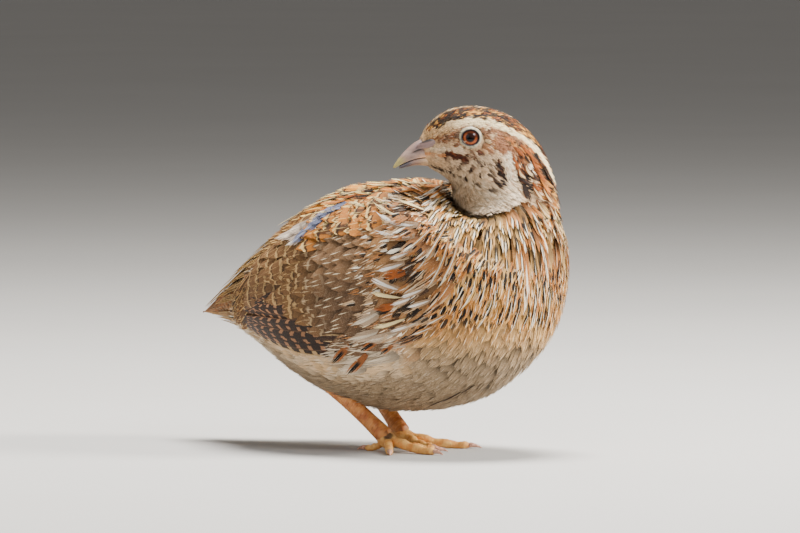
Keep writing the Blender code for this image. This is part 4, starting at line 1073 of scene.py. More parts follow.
PLUME_KINDS = {
    "cream": dict(ground=srgb(0.34, 0.19, 0.08), pale=srgb(1.0, 0.90, 0.66), shaft=1.0, shaft_width=0.62),
    "drop": dict(ground=srgb(0.50, 0.27, 0.10), dark=BLACK, pale=CREAM, shaft=1.0,
                 shaft_width=0.62, spots=0.6),
    "white": dict(ground=srgb(0.74, 0.60, 0.46), dark=TAUPE, pale=srgb(1.0, 0.97, 0.93), shaft=1.0,
                  shaft_width=0.42),
    "soft": dict(ground=srgb(0.70, 0.60, 0.49), dark=TAUPE, pale=WHITE, shaft=0.5, shaft_width=0.3),
    "spotted": dict(ground=srgb(0.80, 0.55, 0.30), dark=BLACK, pale=WHITE, shaft=1.0, shaft_width=0.34,
                    centre=0.9),
    "black": dict(ground=BLACK, dark=BLACK, pale=BUFF, shaft=0.0),
    "dark": dict(ground=srgb(0.14, 0.09, 0.06), dark=BLACK, pale=RUFOUS, shaft=0.0, fringe=0.3),
    "rufous": dict(ground=srgb(0.66, 0.34, 0.12), dark=BLACK, pale=BUFF, shaft=0.0, spots=0.5),
    "orange": dict(ground=srgb(0.84, 0.50, 0.18), dark=BLACK, pale=CREAM, shaft=0.3, shaft_width=0.2),
    "tear": dict(ground=srgb(0.66, 0.38, 0.18), dark=BLACK, pale=CREAM, shaft=0.0, centre=1.0),
    "edged": dict(ground=srgb(0.24, 0.17, 0.14), dark=BLACK, pale=srgb(0.84, 0.70, 0.50),
                  shaft=0.0, fringe=1.0),
    "part": dict(ground=srgb(0.26, 0.19, 0.14), dark=BLACK, pale=TAUPE, shaft=0.0),
    "down": dict(ground=srgb(0.42, 0.44, 0.54), dark=srgb(0.24, 0.26, 0.34), pale=srgb(0.70, 0.72, 0.79),
                 shaft=0.5, shaft_width=0.15),
    "fluff": dict(ground=srgb(0.80, 0.72, 0.65), dark=TAUPE, pale=WHITE, shaft=0.6, shaft_width=0.3),
}
plume_finish = feather_finish("single_plumes", 14.0, dash=0.04, soft=0.45, tip=1.0)


def lay_plumes(name, table, place, bake, rise, seed):
    """One tuft for each line of the table."""
    half, root_a, root_b, tip_a, tip_b = np.array([line[1:] for line in table]).T
    looks = Looks(len(table))
    for kind, marks in PLUME_KINDS.items():
        looks.paint(np.array([line[0] == kind for line in table]), **marks)
    chance = np.random.default_rng(seed)
    looks.tone = chance.uniform(0.35, 0.65, len(table))
    mesh = lay_tufts(name, place, (root_a, root_b), (tip_a, tip_b), half * 1.25, looks, bake, chance,
                     (rise[0](root_a, root_b), rise[1](tip_a, tip_b)), 0.15, 7,
                     (0.04, 0.26, 0.5, 0.7, 0.87, 1.0), 0.08)
    show(name, mesh, plume_finish)


throat_tufts("throat_ruff", 4.0, 1.75, 6, 22, 1.35, 1.10, (-1.0, 0.45), 33, body_finish, "neck_feathers",
             ruff_looks, stray=0.20, blades=5, loose=0.06)


def plume_height(s, degrees):
    """Just above the coat; higher where the wing's front lies under it, and highest for the grey down."""
    turn = np.radians(np.abs(degrees))
    high = between(s, 12.2, 13.0) * between(turn, 0.5, 0.7) * fall(turn, 1.9, 2.1)
    return over_wing(s, turn) + 0.9 + 1.4 * high


def plume_root(s, degrees):
    """Inside the coat, under the plume's own tip."""
    return plume_height(s, degrees) - 0.9


def nape_root(s, degrees):
    """A little off the nape, more where the neck's feathers are larger."""
    return 0.25 + 0.35 * between(s, 6.5, 8.0)


def nape_height(s, degrees):
    """The same for the tips, which stand off further."""
    return 0.55 + 0.75 * between(s, 6.5, 8.0)


for side, word in SIDES:
    def mirrored(s, degrees, height=0.0):
        """The outline with the turn in degrees, the same way round for both sides."""
        return outline(s, np.radians(-side * degrees), height)

    def mirrored_bake(s, degrees):
        """The unrolled body, with the turn in degrees for both sides."""
        return body_bake(s, np.radians(-side * degrees))

    plumes = [line for line in PLUMES if side < 0 or line[0] not in ("down", "fluff", "part")]
    lay_plumes(f"body_plumes_{word}", plumes, mirrored, mirrored_bake, (plume_root, plume_height), 34)
    lay_plumes(f"nape_plumes_{word}", NAPE_PLUMES, mirrored, mirrored_bake, (nape_root, nape_height), 35)


# Wings
# Each folded wing is a pad of skin and flesh against the body, tiled with coverts, with the tertials over
# the secondaries and the dark barred primaries behind. Scapulars from the shoulder cover its upper edge.

WING_START, WING_END = 12.4, 18.1
WING_TOP, WING_LOW = (36.0, 96.0), (117.0, 122.0)
WING_EDGE, WING_THICK = 0.9, 2.1


def wing_place(side):
    """The surface of one folded wing: side is 1 for the left wing and -1 for the right."""

    def place(a, b, height=0.0):
        """A point of the wing: a from shoulder to tip, b from upper to lower edge, height above its pad."""
        a, b, height = alike(a, b, height)
        ring = WING_START + (WING_END - WING_START) * a
        top = WING_TOP[0] + (WING_TOP[1] - WING_TOP[0]) * np.clip(a, 0, 1) ** 2
        low = WING_LOW[0] + (WING_LOW[1] - WING_LOW[0]) * a
        across = np.sqrt(np.sin(math.pi * np.clip(b, 0.03, 0.97)))
        rise = WING_EDGE + WING_THICK * across * np.sqrt(np.sin(math.pi * np.clip(a, 0.05, 0.93)))
        return outline(ring, side * np.radians(top + (low - top) * b), rise + height)

    return place


def wing_pad(name, place, side):
    """A flat closed cushion: rings that run out along its upper face and back along its lower one."""
    a, b = np.meshgrid(np.linspace(0.01, 0.84, 36), np.linspace(0.01, 0.99, 24), indexing="ij")
    upper, lower = place(a, b, -0.5), place(a, b, -2.6)
    loops = np.concatenate((upper, lower[:, ::-1]), 1)
    if side < 0:
        loops = loops[:, ::-1]
    return sheet_mesh(name, loops)


FLIGHT_T = np.array((0.0, 0.12, 0.24, 0.36, 0.48, 0.60, 0.71, 0.81, 0.89, 0.95, 0.985, 1.0))
FLIGHT_W = np.array((0.55, 0.75, 0.88, 0.96, 1.0, 1.0, 0.98, 0.93, 0.83, 0.66, 0.45, 0.22))
FLIGHT_U = np.array((-1.0, -0.75, -0.5, -0.25, 0.0, 0.25, 0.5, 0.75, 1.0))
WING_BROWN, WING_GREY = srgb(0.33, 0.23, 0.15), srgb(0.49, 0.36, 0.24)
FLIGHT = dict(ground=srgb(0.17, 0.12, 0.10), dark=BLACK, pale=srgb(0.72, 0.51, 0.35), shaft=0.0, bars=1.0,
              bar_count=13.0, fringe=0.25)
WORN = dict(ground=srgb(0.47, 0.33, 0.20), dark=srgb(0.26, 0.17, 0.11), pale=srgb(0.80, 0.65, 0.43),
            shaft=0.7, shaft_width=0.05, bars=0.75, bar_count=4.6, fringe=0.3)
GOLDEN = dict(ground=srgb(0.72, 0.44, 0.16), dark=srgb(0.18, 0.11, 0.07), pale=srgb(0.93, 0.79, 0.52),
              shaft=0.5, shaft_width=0.07, bars=0.9, bar_count=2.4, fringe=0.0)
DASHED = dict(ground=WING_GREY, dark=WING_BROWN, pale=srgb(0.95, 0.88, 0.74), shaft=1.0, shaft_width=0.085,
              bars=0.0, bar_count=3.0)
# Each tier: name, rows, feathers a row, root a of first and last row, length along a, root b from and to,
# half width, heights at root and tip, swing of b, looks.
WING_TIERS = (
    ("primaries", 1, 9, (0.16, 0.16), 0.45, (0.62, 0.97), 2.0, (-0.7, 0.45), 0.02, FLIGHT),
    ("secondaries", 1, 6, (0.50, 0.50), 0.30, (0.20, 0.62), 2.4, (-0.7, 0.45), 0.03, WORN),
    ("tertials", 4, 6, (0.26, 0.50), 0.25, (0.02, 0.56), 2.6, (-0.6, 0.85), 0.03, WORN),
    ("coverts", 10, 16, (-0.10, 0.33), 0.145, (0.05, 0.90), 2.0, (-0.7, 0.70), 0.02, DASHED),
    ("scapulars", 5, 6, (-0.12, 0.20), 0.21, (0.02, 0.26), 2.9, (-0.6, 1.45), 0.02, GOLDEN),
)

SHOULDER_PLUMES = (     # the soft brushes over the wing's front, measured along and across the wing
    ("white", 0.7, -0.14, 0.62, -0.03, 0.56), ("white", 0.9, -0.08, 0.64, 0.03, 0.58),
    ("rufous", 1.1, -0.06, 0.69, 0.02, 0.62), ("black", 0.9, -0.03, 0.65, 0.01, 0.69),
    ("white", 1.1, -0.01, 0.76, 0.07, 0.59), ("cream", 0.8, -0.01, 0.81, 0.09, 0.66),
    ("white", 0.7, -0.05, 0.85, 0.04, 0.79), ("black", 0.6, -0.03, 0.88, 0.04, 0.83),
    ("white", 0.7, -0.07, 0.93, 0, 0.86), ("white", 0.7, -0.08, 0.85, 0, 0.79),
    ("rufous", 0.8, 0.01, 0.82, 0.1, 0.76), ("soft", 1.4, 0.06, 0.78, 0.19, 0.8),
    ("black", 0.7, 0.05, 0.81, 0.1, 0.78), ("black", 0.7, 0.02, 0.85, 0.06, 0.85),
    ("black", 0.7, -0.02, 0.91, 0.03, 0.9), ("cream", 0.8, 0.01, 0.91, 0.13, 0.85),
    ("white", 0.7, 0, 0.97, 0.09, 0.91), ("soft", 1.2, 0.08, 0.89, 0.23, 0.88),
    ("soft", 1.1, 0.05, 0.95, 0.18, 0.91), ("edged", 0.9, 0.21, 0.88, 0.35, 0.84),
    ("spotted", 0.5, -0.07, 1.06, -0.01, 1.01), ("spotted", 0.5, -0.02, 1.05, 0.04, 1),
    ("tear", 0.9, 0.24, 0.91, 0.33, 1.02), ("tear", 0.9, 0.20, 0.99, 0.30, 1.11),
    ("tear", 0.8, 0.13, 0.92, 0.21, 0.96), ("tear", 0.6, 0.11, 0.99, 0.16, 1.01),
)
wing_finish = feather_finish("wing_feathers", 22.0, 0.62, 0.07, 0.7, slant=0.03)
covert_finish = feather_finish("wing_coverts", 22.0, 0.62, 0.09, 0.7, dash=0.60)
notch_finish = feather_finish("flight_feathers", 30.0, 0.55, 0.01, 0.5, notched=True, slant=0.0)


def wing_bake(a, b):
    """The wing laid flat: across it from side to side of the square, along it from bottom to top."""
    return np.stack((0.05 + 0.9 * np.clip(b + 0.2, 0, 1.4) / 1.4,
                     0.05 + 0.9 * np.clip(a + 0.2, 0, 1.3) / 1.3), -1)


def lay_tier(word, place, number, tier, rows, count, root_a, length, root_b, half, rise, swing, marks):
    """One tier of vanes: roots in staggered rows along the wing, each vane running back by its length."""
    chance = np.random.default_rng(100 + number)
    row, one = rows_of(rows, count)
    share = (one + 0.25 + 0.5 * (row % 2)) / count + chance.uniform(-0.25, 0.25, len(one)) / count
    depth = row / max(rows - 1, 1)
    loose = chance.uniform(-0.012, 0.012, (2, len(one)))
    a = root_a[0] + (root_a[1] - root_a[0]) * depth + loose[0]
    b = root_b[0] + (root_b[1] - root_b[0]) * share
    if tier == "coverts":
        b = b * (1.04 - 0.30 * between(a, 0.14, 0.34))
    tip = (a + length * (1 + loose[1] * 4), b + chance.normal(0, swing, len(one)) + 0.04 * (b - 0.3))
    if tier == "primaries":
        a = a - 0.02 * share
        tip = (0.86 - 0.20 * (1 - share) ** 1.5 + loose[1], 0.48 + 0.50 * share)
    looks = Looks(len(one))
    looks.paint(1.0, **marks)
    mix = chance.random(len(one))
    if tier == "primaries":
        looks.paint(share > 0.9, fringe=1.0, pale=srgb(0.84, 0.69, 0.48))
    if tier == "coverts":
        looks.paint(mix < 0.3, ground=srgb(0.53, 0.39, 0.26), shaft=0.1)
        looks.paint(between(b, 0.45, 0.65) * 0.7, ground=srgb(0.33, 0.23, 0.15))
        looks.paint(between(a, 0.16, 0.30), bars=0.7, bar_count=2.2, pale=srgb(0.80, 0.65, 0.43), shaft=0.6,
                    ground=srgb(0.44, 0.31, 0.18))
        looks.paint(fall(a, -0.10, 0.02), ground=srgb(0.60, 0.42, 0.24))
    if tier == "scapulars":
        looks.paint(mix < 0.25, centre=0.8)
        looks.paint(fall(b, 0.05, 0.10), shaft_width=0.20, shaft=1.0)
    looks.tone = chance.random(len(one))
    width = half * chance.uniform(0.92, 1.08, len(one))
    mesh = lay_vanes(f"{tier}_{word}", place, (a, b), tip, width, looks, wing_bake, chance, rise, 0.25,
                     FLIGHT_T, FLIGHT_W, FLIGHT_U, 0.018)
    finish = {"primaries": notch_finish, "coverts": covert_finish}.get(tier, wing_finish)
    show(f"{tier}_{word}", mesh, finish)


# The flank's long soft feathers lie over the front and the lower edge of the wing, the rear row first.
# Each row: root a, root b from and to, feathers, length.
FLANK_ROWS = (
    (0.20, (0.96, 1.10), 4, 0.17), (0.15, (0.93, 1.10), 5, 0.17), (0.10, (0.88, 1.08), 6, 0.17),
    (0.05, (0.80, 1.08), 8, 0.17), (0.0, (0.66, 1.06), 10, 0.17), (-0.04, (0.46, 1.04), 13, 0.17),
    (-0.08, (0.28, 1.04), 15, 0.17), (-0.12, (0.12, 1.02), 17, 0.16), (-0.16, (0.04, 1.0), 18, 0.16),
    (-0.20, (0.0, 1.0), 19, 0.15), (-0.25, (0.0, 1.0), 19, 0.15),
)


def lay_flank_row(word, place, number, root_a, root_b, count, length):
    """A row of the flank's feathers: rufous, black or buff with white shafts, pale at the low edge."""
    chance = np.random.default_rng(160 + number)
    share = (np.arange(count) + chance.uniform(-0.3, 0.3, count)) / (count - 1)
    a = root_a + chance.uniform(-0.02, 0.02, count)
    b = root_b[0] + (root_b[1] - root_b[0]) * share
    tip = (a + length * chance.uniform(0.85, 1.15, count), b - 0.05 * share + chance.normal(0, 0.03, count))
    looks = Looks(count)
    mix, other = chance.random(count), chance.random(count)
    webs = towards(towards(srgb(0.78, 0.64, 0.48), srgb(0.66, 0.40, 0.16), (other > 0.30) * 0.9), BLACK,
                   (other > 0.88) * 0.9)
    looks.paint(1.0, ground=webs, dark=BLACK, pale=WHITE, shaft=1.0,
                shaft_width=np.where(mix < 0.20, 0.28, 0.07), spots=mix < 0.6)
    looks.paint(between(b, 0.82, 0.92) * between(a, -0.06, 0.02),
                ground=towards(srgb(0.68, 0.58, 0.46), srgb(0.84, 0.77, 0.67), other), pale=WHITE,
                shaft=0.5, shaft_width=0.12, spots=mix < 0.15)
    looks.tone = chance.random(count)
    name = f"flank_over_wing_{word}_{number}"
    mesh = lay_tufts(name, place, (a, b), tip, 2.0 * chance.uniform(0.8, 1.2, count), looks, wing_bake,
                     chance, (-3.2, 0.9), 0.3, 9, (0.05, 0.35, 0.6, 0.8, 0.93, 1.0), 0.12)
    show(name, mesh, body_finish)


def lay_rump_side(word, place):
    """The rump's side feathers, which hang down over the end of the folded wing, ochre with pale edges."""
    rows, columns = 9, 5
    chance = np.random.default_rng(37)
    row, one = rows_of(rows, columns)
    a = 0.50 + 0.24 * row / (rows - 1) + chance.uniform(-0.006, 0.006, len(row))
    b = 0.06 + 0.66 * (one + 0.5 * (row % 2)) / columns + chance.uniform(-0.02, 0.02, len(row))
    tip = (a + 0.13 * chance.uniform(0.9, 1.1, len(row)), b + 0.36 + chance.normal(0, 0.015, len(row)))
    keep = tip[0] > 0.70 + 0.10 * tip[1]
    a, b, tip = a[keep], b[keep], (tip[0][keep], tip[1][keep])
    looks = Looks(len(a))
    mix, other = chance.random(len(a)), chance.random(len(a))
    looks.paint(1.0, ground=towards(srgb(0.36, 0.24, 0.10), srgb(0.52, 0.31, 0.10), other),
                dark=srgb(0.16, 0.10, 0.06), pale=srgb(0.86, 0.71, 0.46), shaft=1.0, shaft_width=0.05,
                fringe=1.0, centre=np.where(mix < 0.5, 0.8, 0.3))
    looks.tone = chance.random(len(a))
    mesh = lay_vanes(f"rump_sides_{word}", place, (a, b), tip, np.full(len(a), 1.5), looks, wing_bake,
                     chance, (-0.6, 1.2), 0.25, FLIGHT_T, FLIGHT_W, VANE_U, 0.02)
    show(f"rump_sides_{word}", mesh, covert_finish)


def brush_root(a, b):
    """The shoulder plumes' roots stand a little off the pad."""
    return 0.3 + 0 * a


def brush_height(a, b):
    """Their tips stand off further, over the rows of the flank."""
    return 1.5 + 0 * a


for side, word in SIDES:
    place = wing_place(side)
    pad = wing_pad(f"wing_pad_{word}", place, side)
    spread(pad, "ground", np.tile(np.array(BROWN), (len(pad.vertices), 1)))
    show(f"wing_pad_{word}", pad, skin_finish.material, (f"wing_{word}",))
    for number, tier in enumerate(WING_TIERS):
        lay_tier(word, place, number, *tier)
    for number, row in enumerate(FLANK_ROWS):
        lay_flank_row(word, place, number, *row)
    lay_plumes(f"shoulder_plumes_{word}", SHOULDER_PLUMES, place, wing_bake, (brush_root, brush_height), 36)
    lay_rump_side(word, place)


# Tail
# A short soft tail: a fan of narrow feathers nearly hidden by the long barred uppertail coverts, with pale
# wispy coverts beneath. Each is rooted in the end of the rump.

def tail_place(ring, degrees, height=0.0):
    """The rump's outline, with the turn in degrees."""
    return outline(ring, np.radians(degrees), height)


def tail_bake(ring, degrees):
    """The unrolled body, with the turn in degrees."""
    return body_bake(ring, np.radians(degrees))


# Each tier: name, feathers, root ring, tip ring, degrees from and to, half width, heights, looks.
TAIL_TIERS = (
    ("tail_feathers", 10, 17.6, 20.0, (-70, 70), 1.9, (-1.0, 0.3), "bright"),
    ("undertail_coverts", 9, 17.2, 19.5, (120, 240), 2.6, (-1.0, 0.3), "pale"),
    ("long_uppertail_coverts", 13, 17.2, 19.3, (-92, 92), 1.6, (-1.0, 0.5), "bright"),
    ("middle_uppertail_coverts", 15, 16.9, 18.75, (-92, 92), 1.6, (-1.0, 0.6), "rump"),
    ("short_uppertail_coverts", 16, 16.5, 18.2, (-92, 92), 1.7, (-1.0, 0.6), "rump"),
    ("rear_rump_feathers", 16, 16.1, 17.7, (-88, 88), 1.8, (-1.0, 0.7), "rump"),
)
for number, (tier, count, root_ring, tip_ring, degrees, half, rise, kind) in enumerate(TAIL_TIERS):
    chance = np.random.default_rng(140 + number)
    turn = np.linspace(degrees[0], degrees[1], count) + chance.uniform(-2, 2, count)
    root = (root_ring + chance.uniform(-0.08, 0.08, count), turn)
    tip = (tip_ring - chance.uniform(0.0, 0.25, count), turn + chance.uniform(-3, 3, count))
    looks = Looks(count)
    if kind == "pale":
        looks.paint(1.0, ground=srgb(0.60, 0.42, 0.20), dark=TAUPE, pale=srgb(0.86, 0.74, 0.52), shaft=0.5,
                    shaft_width=0.1, fringe=0.8)
    else:
        looks.paint(1.0, ground=srgb(0.56, 0.38, 0.10) if kind == "bright" else srgb(0.45, 0.31, 0.12),
                    dark=srgb(0.20, 0.13, 0.08), pale=srgb(0.82, 0.67, 0.42), shaft=1.0, shaft_width=0.07,
                    bars=0.25, bar_count=4.0, fringe=1.0, centre=0.3)
    looks.tone = chance.random(count)
    mesh = lay_vanes(tier, tail_place, root, tip, half * chance.uniform(0.92, 1.08, count), looks,
                     tail_bake, chance, rise, 0.3, FLIGHT_T, FLIGHT_W, FLIGHT_U, 0.02)
    show(tier, mesh, wing_finish)


def vent_looks(looks, places, s, angle, chance):
    """Pale buff and off-white, with no markings."""
    mix = chance.random(len(s))
    looks.paint(1.0, ground=towards(srgb(0.74, 0.63, 0.49), srgb(0.90, 0.83, 0.72), mix), dark=TAUPE,
                pale=WHITE, shaft=0.4, shaft_width=0.1, spots=0.0, centre=0.0, bars=0.0, fringe=0.0)


coat("undertail_coat", (16.0, 17.7), (130, 230), 2.6, 2.0, 8.0, 1.3, (-1.0, 0.4), 38, body_finish,
     "tail_feathers", 0.14, repaint=vent_looks, loose=0.12)


# Bill
# Two sheaths of horn over bone. The upper one is high at its base and curves down to a sharp tip, with the
# nostril a slit under a soft flap on each side.

UPPER = ((22.6, 98.5, 92.6, 3.65), (25.2, 97.2, 92.2, 3.1), (27.0, 95.9, 91.7, 2.6),
         (29.0, 94.0, 90.9, 2.0), (30.8, 91.9, 90.0, 1.3), (31.8, 90.5, 89.4, 0.75),
         (32.4, 89.6, 89.2, 0.25))
LOWER = ((21.8, 92.3, 89.7, 3.2), (25.0, 91.9, 89.9, 2.7), (27.0, 91.3, 89.6, 2.1), (29.0, 90.5, 89.2, 1.4),
         (30.4, 89.7, 88.9, 0.6))


def smooth_rows(rows, count):
    """Rows on a smooth curve through the given ones: each column a cubic through its own values."""
    table = np.array(rows, float)
    table = np.vstack((2 * table[0] - table[1], table, 2 * table[-1] - table[-2]))
    s = np.linspace(0, len(rows) - 1, count)
    i = np.minimum(s.astype(int), len(rows) - 2)
    t = (s - i)[:, None]
    a, b, c, d = (table[i + k] for k in range(4))
    square, cube = 2 * a - 5 * b + 4 * c - d, 3 * (b - c) + d - a
    return 0.5 * (2 * b + (c - a) * t + square * t ** 2 + cube * t ** 3)


def bill_sheet(name, rows, upper):
    """Half-round sections: the curved side is an arc as high as the horn, the mouth side is nearly flat."""
    table = smooth_rows(rows, 56)
    turn = np.linspace(2 * math.pi, 0, 56, endpoint=False)[None, :]
    f, top, low, half = (table[:, k, None] for k in range(4))
    if upper:
        z = (low + (top - low) * np.clip(np.cos(turn), 0, 1) ** 0.9
             + 0.25 * (1 - np.clip(np.cos(turn), 0, 1)) * np.cos(turn) * (half > 0.4))
    else:
        z = top + (top - low) * np.clip(np.cos(turn), -1, 0) + 0.0 * turn
    side = half * np.sin(turn) * (1 + 0.0 * f)
    flap = np.exp(-((f - 24.6) / 1.7) ** 2 - ((z - 96.0 + 0.5 * (f - 24.6)) / 1.1) ** 2) if upper else 0.0
    slit = (np.exp(-((f - 25.2) / 1.5) ** 2 - ((z - 94.55 + 0.42 * (f - 25.2)) / 0.32) ** 2) if upper
            else 0.0)
    side = side + np.sign(np.sin(turn)) * (0.45 * flap - 0.7 * slit) * (np.abs(np.sin(turn)) > 0.2)
    points = head_points(f + 0 * side, z + 0 * side, side)
    mesh = sheet_mesh(name, points)
    horn = np.tile(np.array(srgb(0.58, 0.47, 0.42)), (*z.shape, 1))
    tip = between(f + 0 * z, 27.8, 31.2)
    horn = towards(horn, srgb(0.66, 0.60, 0.36), tip * (between(93.4 - z, 0.0, 2.0) if upper else 0.3))
    horn = towards(horn, srgb(0.66, 0.56, 0.52), between(z, 92.4, 93.4) * fall(z, 94.0, 95.0) * 0.6
                   * (upper * 1.0))
    horn = towards(horn, srgb(0.48, 0.40, 0.41), np.clip(flap * 1.2, 0, 1))
    # Painted shade: the nostril slit darkens nearly to black.
    horn = towards(horn, srgb(0.07, 0.05, 0.05), np.clip(slit * 1.5, 0, 1))
    if not upper:
        horn = towards(horn, srgb(0.30, 0.29, 0.33), between(f + 0 * z, 25.5, 28.5))
        horn = towards(horn, srgb(0.80, 0.67, 0.52), fall(f + 0 * z, 22.5, 25.5) * 0.8)
    else:
        horn = towards(horn, srgb(0.82, 0.62, 0.47), fall(f + 0 * z, 23.5, 26.5) * fall(z, 92.6, 93.8))
    spread(mesh, "ground", horn.reshape(-1, 3))
    return mesh


bill_finish = Finish("bill_horn", 0.42, 0.5)
grain = bill_finish.noise(1400.0, 4.0)
bill_finish.set("Base Color", bill_finish.blend(bill_finish.value("ground", "Color"), (0.06, 0.045, 0.04),
                                                (grain - 0.42).larger(0.0) * 0.9))
bill_finish.set("Roughness", grain * 0.3 + 0.28)
bill_finish.bump(bill_finish.noise(2600.0), 0.00008, 0.6)
show("bill_upper_horn", bill_sheet("bill_upper_horn", UPPER, True), bill_finish.material, ("bill_upper",))
show("bill_lower_horn", bill_sheet("bill_lower_horn", LOWER, False), bill_finish.material, ("bill_lower",))


def nostril_flap(name, side):
    """The soft swollen skin over a nostril: a flattened ball along the bill's side, thinner to the rear."""
    polar = np.linspace(0.0, math.pi, 28)[:, None]
    turn = full_turn(32)[None, :]
    f = 22.9 - 2.75 * np.cos(polar) + 0 * turn
    z = 96.5 - 0.30 * (f - 22.9) + 1.25 * np.sin(polar) ** 0.8 * np.sin(turn) * (1 + 0.08 * (22.9 - f))
    out = 3.35 + 0.62 * (24.2 - f) + 0.95 * np.sin(polar) * np.cos(turn) - 0.25 * (z - 96.5)
    points = head_points(f, z, side * out)
    mesh = sheet_mesh(name, points if side < 0 else points[:, ::-1], cap=False)
    # Painted shade: the flap's lower side, over the slit, darkens nearly to black.
    under = between(96.2 - 0.30 * (f - 22.9) - z, 0.25, 0.8)
    spread(mesh, "ground", towards(np.broadcast_to(np.array(srgb(0.50, 0.40, 0.38)), (*f.shape, 3)),
                                   srgb(0.10, 0.07, 0.06), under).reshape(-1, 3))
    return mesh


for side, word in SIDES:
    show(f"nostril_flap_{word}", nostril_flap(f"nostril_flap_{word}", side), bill_finish.material)


# Eyes
# Wet globes of clear tissue set in sockets of the skull, each with a black pupil in a red-brown iris.
# A ring of pale bare lid skin holds them.

def eye_frame(side):
    """The eye's centre, the way it looks, and two directions across it."""
    centre = head_point(EYE_F, EYE_Z, side * EYE_SIDE)
    out = unit(head_point(EYE_F + 0.22, EYE_Z + 0.1, side * (EYE_SIDE + 1.0)) - centre)
    up = unit(np.array((0, 0, 1.0)) - out * out[2])
    return centre, out, up, np.cross(up, out)


def globe(name, side):
    """A flattened ball: half thickness EYE_DEEP along its look, with the clear front a little fuller."""
    centre, out, up, over = eye_frame(side)
    polar = np.linspace(0.0, math.pi, 48)[:, None]
    turn = full_turn(64)[None, :]
    radius = EYE_R * np.sin(polar) + 0 * turn
    deep = EYE_DEEP * np.cos(polar) + 0.12 * np.exp(-(radius / 2.2) ** 2) * (np.cos(polar) > 0)
    around = np.cos(turn)[..., None] * over + np.sin(turn)[..., None] * up
    points = centre + radius[..., None] * around + deep[..., None] * out
    mesh = sheet_mesh(name, points, cap=False)
    add_map(mesh, "iris", np.stack(((radius / EYE_R).reshape(-1),
                                    (turn + 0 * polar).reshape(-1) / (2 * math.pi)), -1))
    front = (np.cos(polar) + 0 * turn).reshape(-1)
    spread(mesh, "front", front, 1)
    return mesh


eye_finish = Finish("eye_wet", 0.05, 0.22)
split = {"Vector": eye_finish.node("UVMap", {"uv_map": "iris"})}
radius = eye_finish.node("SeparateXYZ", None, split, 0) * EYE_R
turning = eye_finish.node("SeparateXYZ", None, split, 1)
strands = (eye_finish.noise(1600.0, 3.0) - 0.5) * 0.9
rays = (turning * 6.28 * 26.0 + strands * 6.0).sine()
iris = eye_finish.node("ValToRGB",
                       {"stops": ((0.0, srgb(0.008, 0.008, 0.012)), (0.27, srgb(0.015, 0.012, 0.015)),
                                  (0.32, srgb(0.18, 0.07, 0.04)), (0.43, srgb(0.56, 0.23, 0.07)),
                                  (0.52, srgb(0.38, 0.14, 0.05)), (0.58, srgb(0.10, 0.05, 0.05)),
                                  (0.72, srgb(0.05, 0.04, 0.045)))}, {"Fac": radius / 4.1 + strands * 0.02})
iris = eye_finish.blend(iris, (0.75, 0.30, 0.08),
                        (rays.larger(0.0) * (radius - 1.30).step(0.0, 0.2) * (2.3 - radius).step(0.0, 0.3))
                        * 0.25)
# Painted shade: the upper side of the iris, under the lid, darkens nearly to black.
iris = eye_finish.blend(iris, (0.02, 0.008, 0.006), (turning * 6.28 + 0.5).sine().step(-0.3, 0.7) * 0.85)
eye_finish.set("Base Color", iris)

lid_finish = Finish("eyelid_skin", 0.5, 0.4)
wrinkle = lid_finish.noise(1800.0, 4.0)
lid_tone = lid_finish.blend(srgb(0.70, 0.66, 0.54), srgb(0.38, 0.36, 0.33), wrinkle.step(0.42, 0.66) * 0.8)
lid_finish.set("Base Color", lid_finish.blend(lid_tone, srgb(0.13, 0.13, 0.16), lid_finish.value("inner")))
lid_finish.bump(wrinkle, 0.0001, 0.8)


def lids(name, side):
    """A swollen ring round the opening, its inner edge drawn in over the globe, thicker behind."""
    centre, out, up, over = eye_frame(side)
    turn = full_turn(96)[:, None]
    bend = full_turn(20)[None, :]
    fat = 0.64 + 0.08 * np.cos(turn + 2.4) + 0.02 * np.sin(11 * turn)
    ring = 3.10 + 0.16 * np.cos(2 * turn)
    across = ring + fat * np.cos(bend)
    depth = (EYE_DEEP * np.sqrt(1 - (np.minimum(across, EYE_R - 0.1) / EYE_R) ** 2) - 0.25
             + fat * (0.65 + 0.65 * np.sin(bend)))
    arm = np.cos(turn)[..., None] * over + np.sin(turn)[..., None] * up
    points = centre + across[..., None] * arm + depth[..., None] * out
    mesh = sheet_mesh(name, np.concatenate((points, points[:1])), cap=False)
    inner = between(-np.cos(bend) - 0.25 * np.sin(bend), -0.1, 0.5) + 0.0 * turn
    inner = np.maximum(inner, 0.75 * between(np.cos(bend) - 0.35 * np.sin(bend), 0.70, 0.95))
    spread(mesh, "inner", np.concatenate((inner, inner[:1])).reshape(-1), 1)
    return mesh


for side, word in SIDES:
    show(f"eye_globe_{word}", globe(f"eye_globe_{word}", side), eye_finish.material, (f"eye_{word}",))
    show(f"eyelids_{word}", lids(f"eyelids_{word}", side), lid_finish.material)


# Legs and feet
# Bare legs of bone and sinew under scaled skin: broad plates down the front, small scales behind and rings
# of scales on the toes. The claws are short curved horn.

HOCK = {-1: (-12.0, -22.0, 21.4), 1: (10.5, -26.0, 22.0)}
TOE_JOINT = {-1: (-9.0, 0.0, 4.0), 1: (8.0, -8.0, 4.0)}
FOOT_TURN = {-1: 8.0, 1: 24.0}
TARSUS_RADII = (3.0, 2.5, 2.2, 2.2, 2.5)
TOES = (("2", -37.0, 14.0, 1.5, 1.1), ("3", 0.0, 20.5, 1.65, 1.15), ("4", 40.0, 15.0, 1.45, 1.05),
        ("1", 160.0, 7.0, 1.2, 0.95))


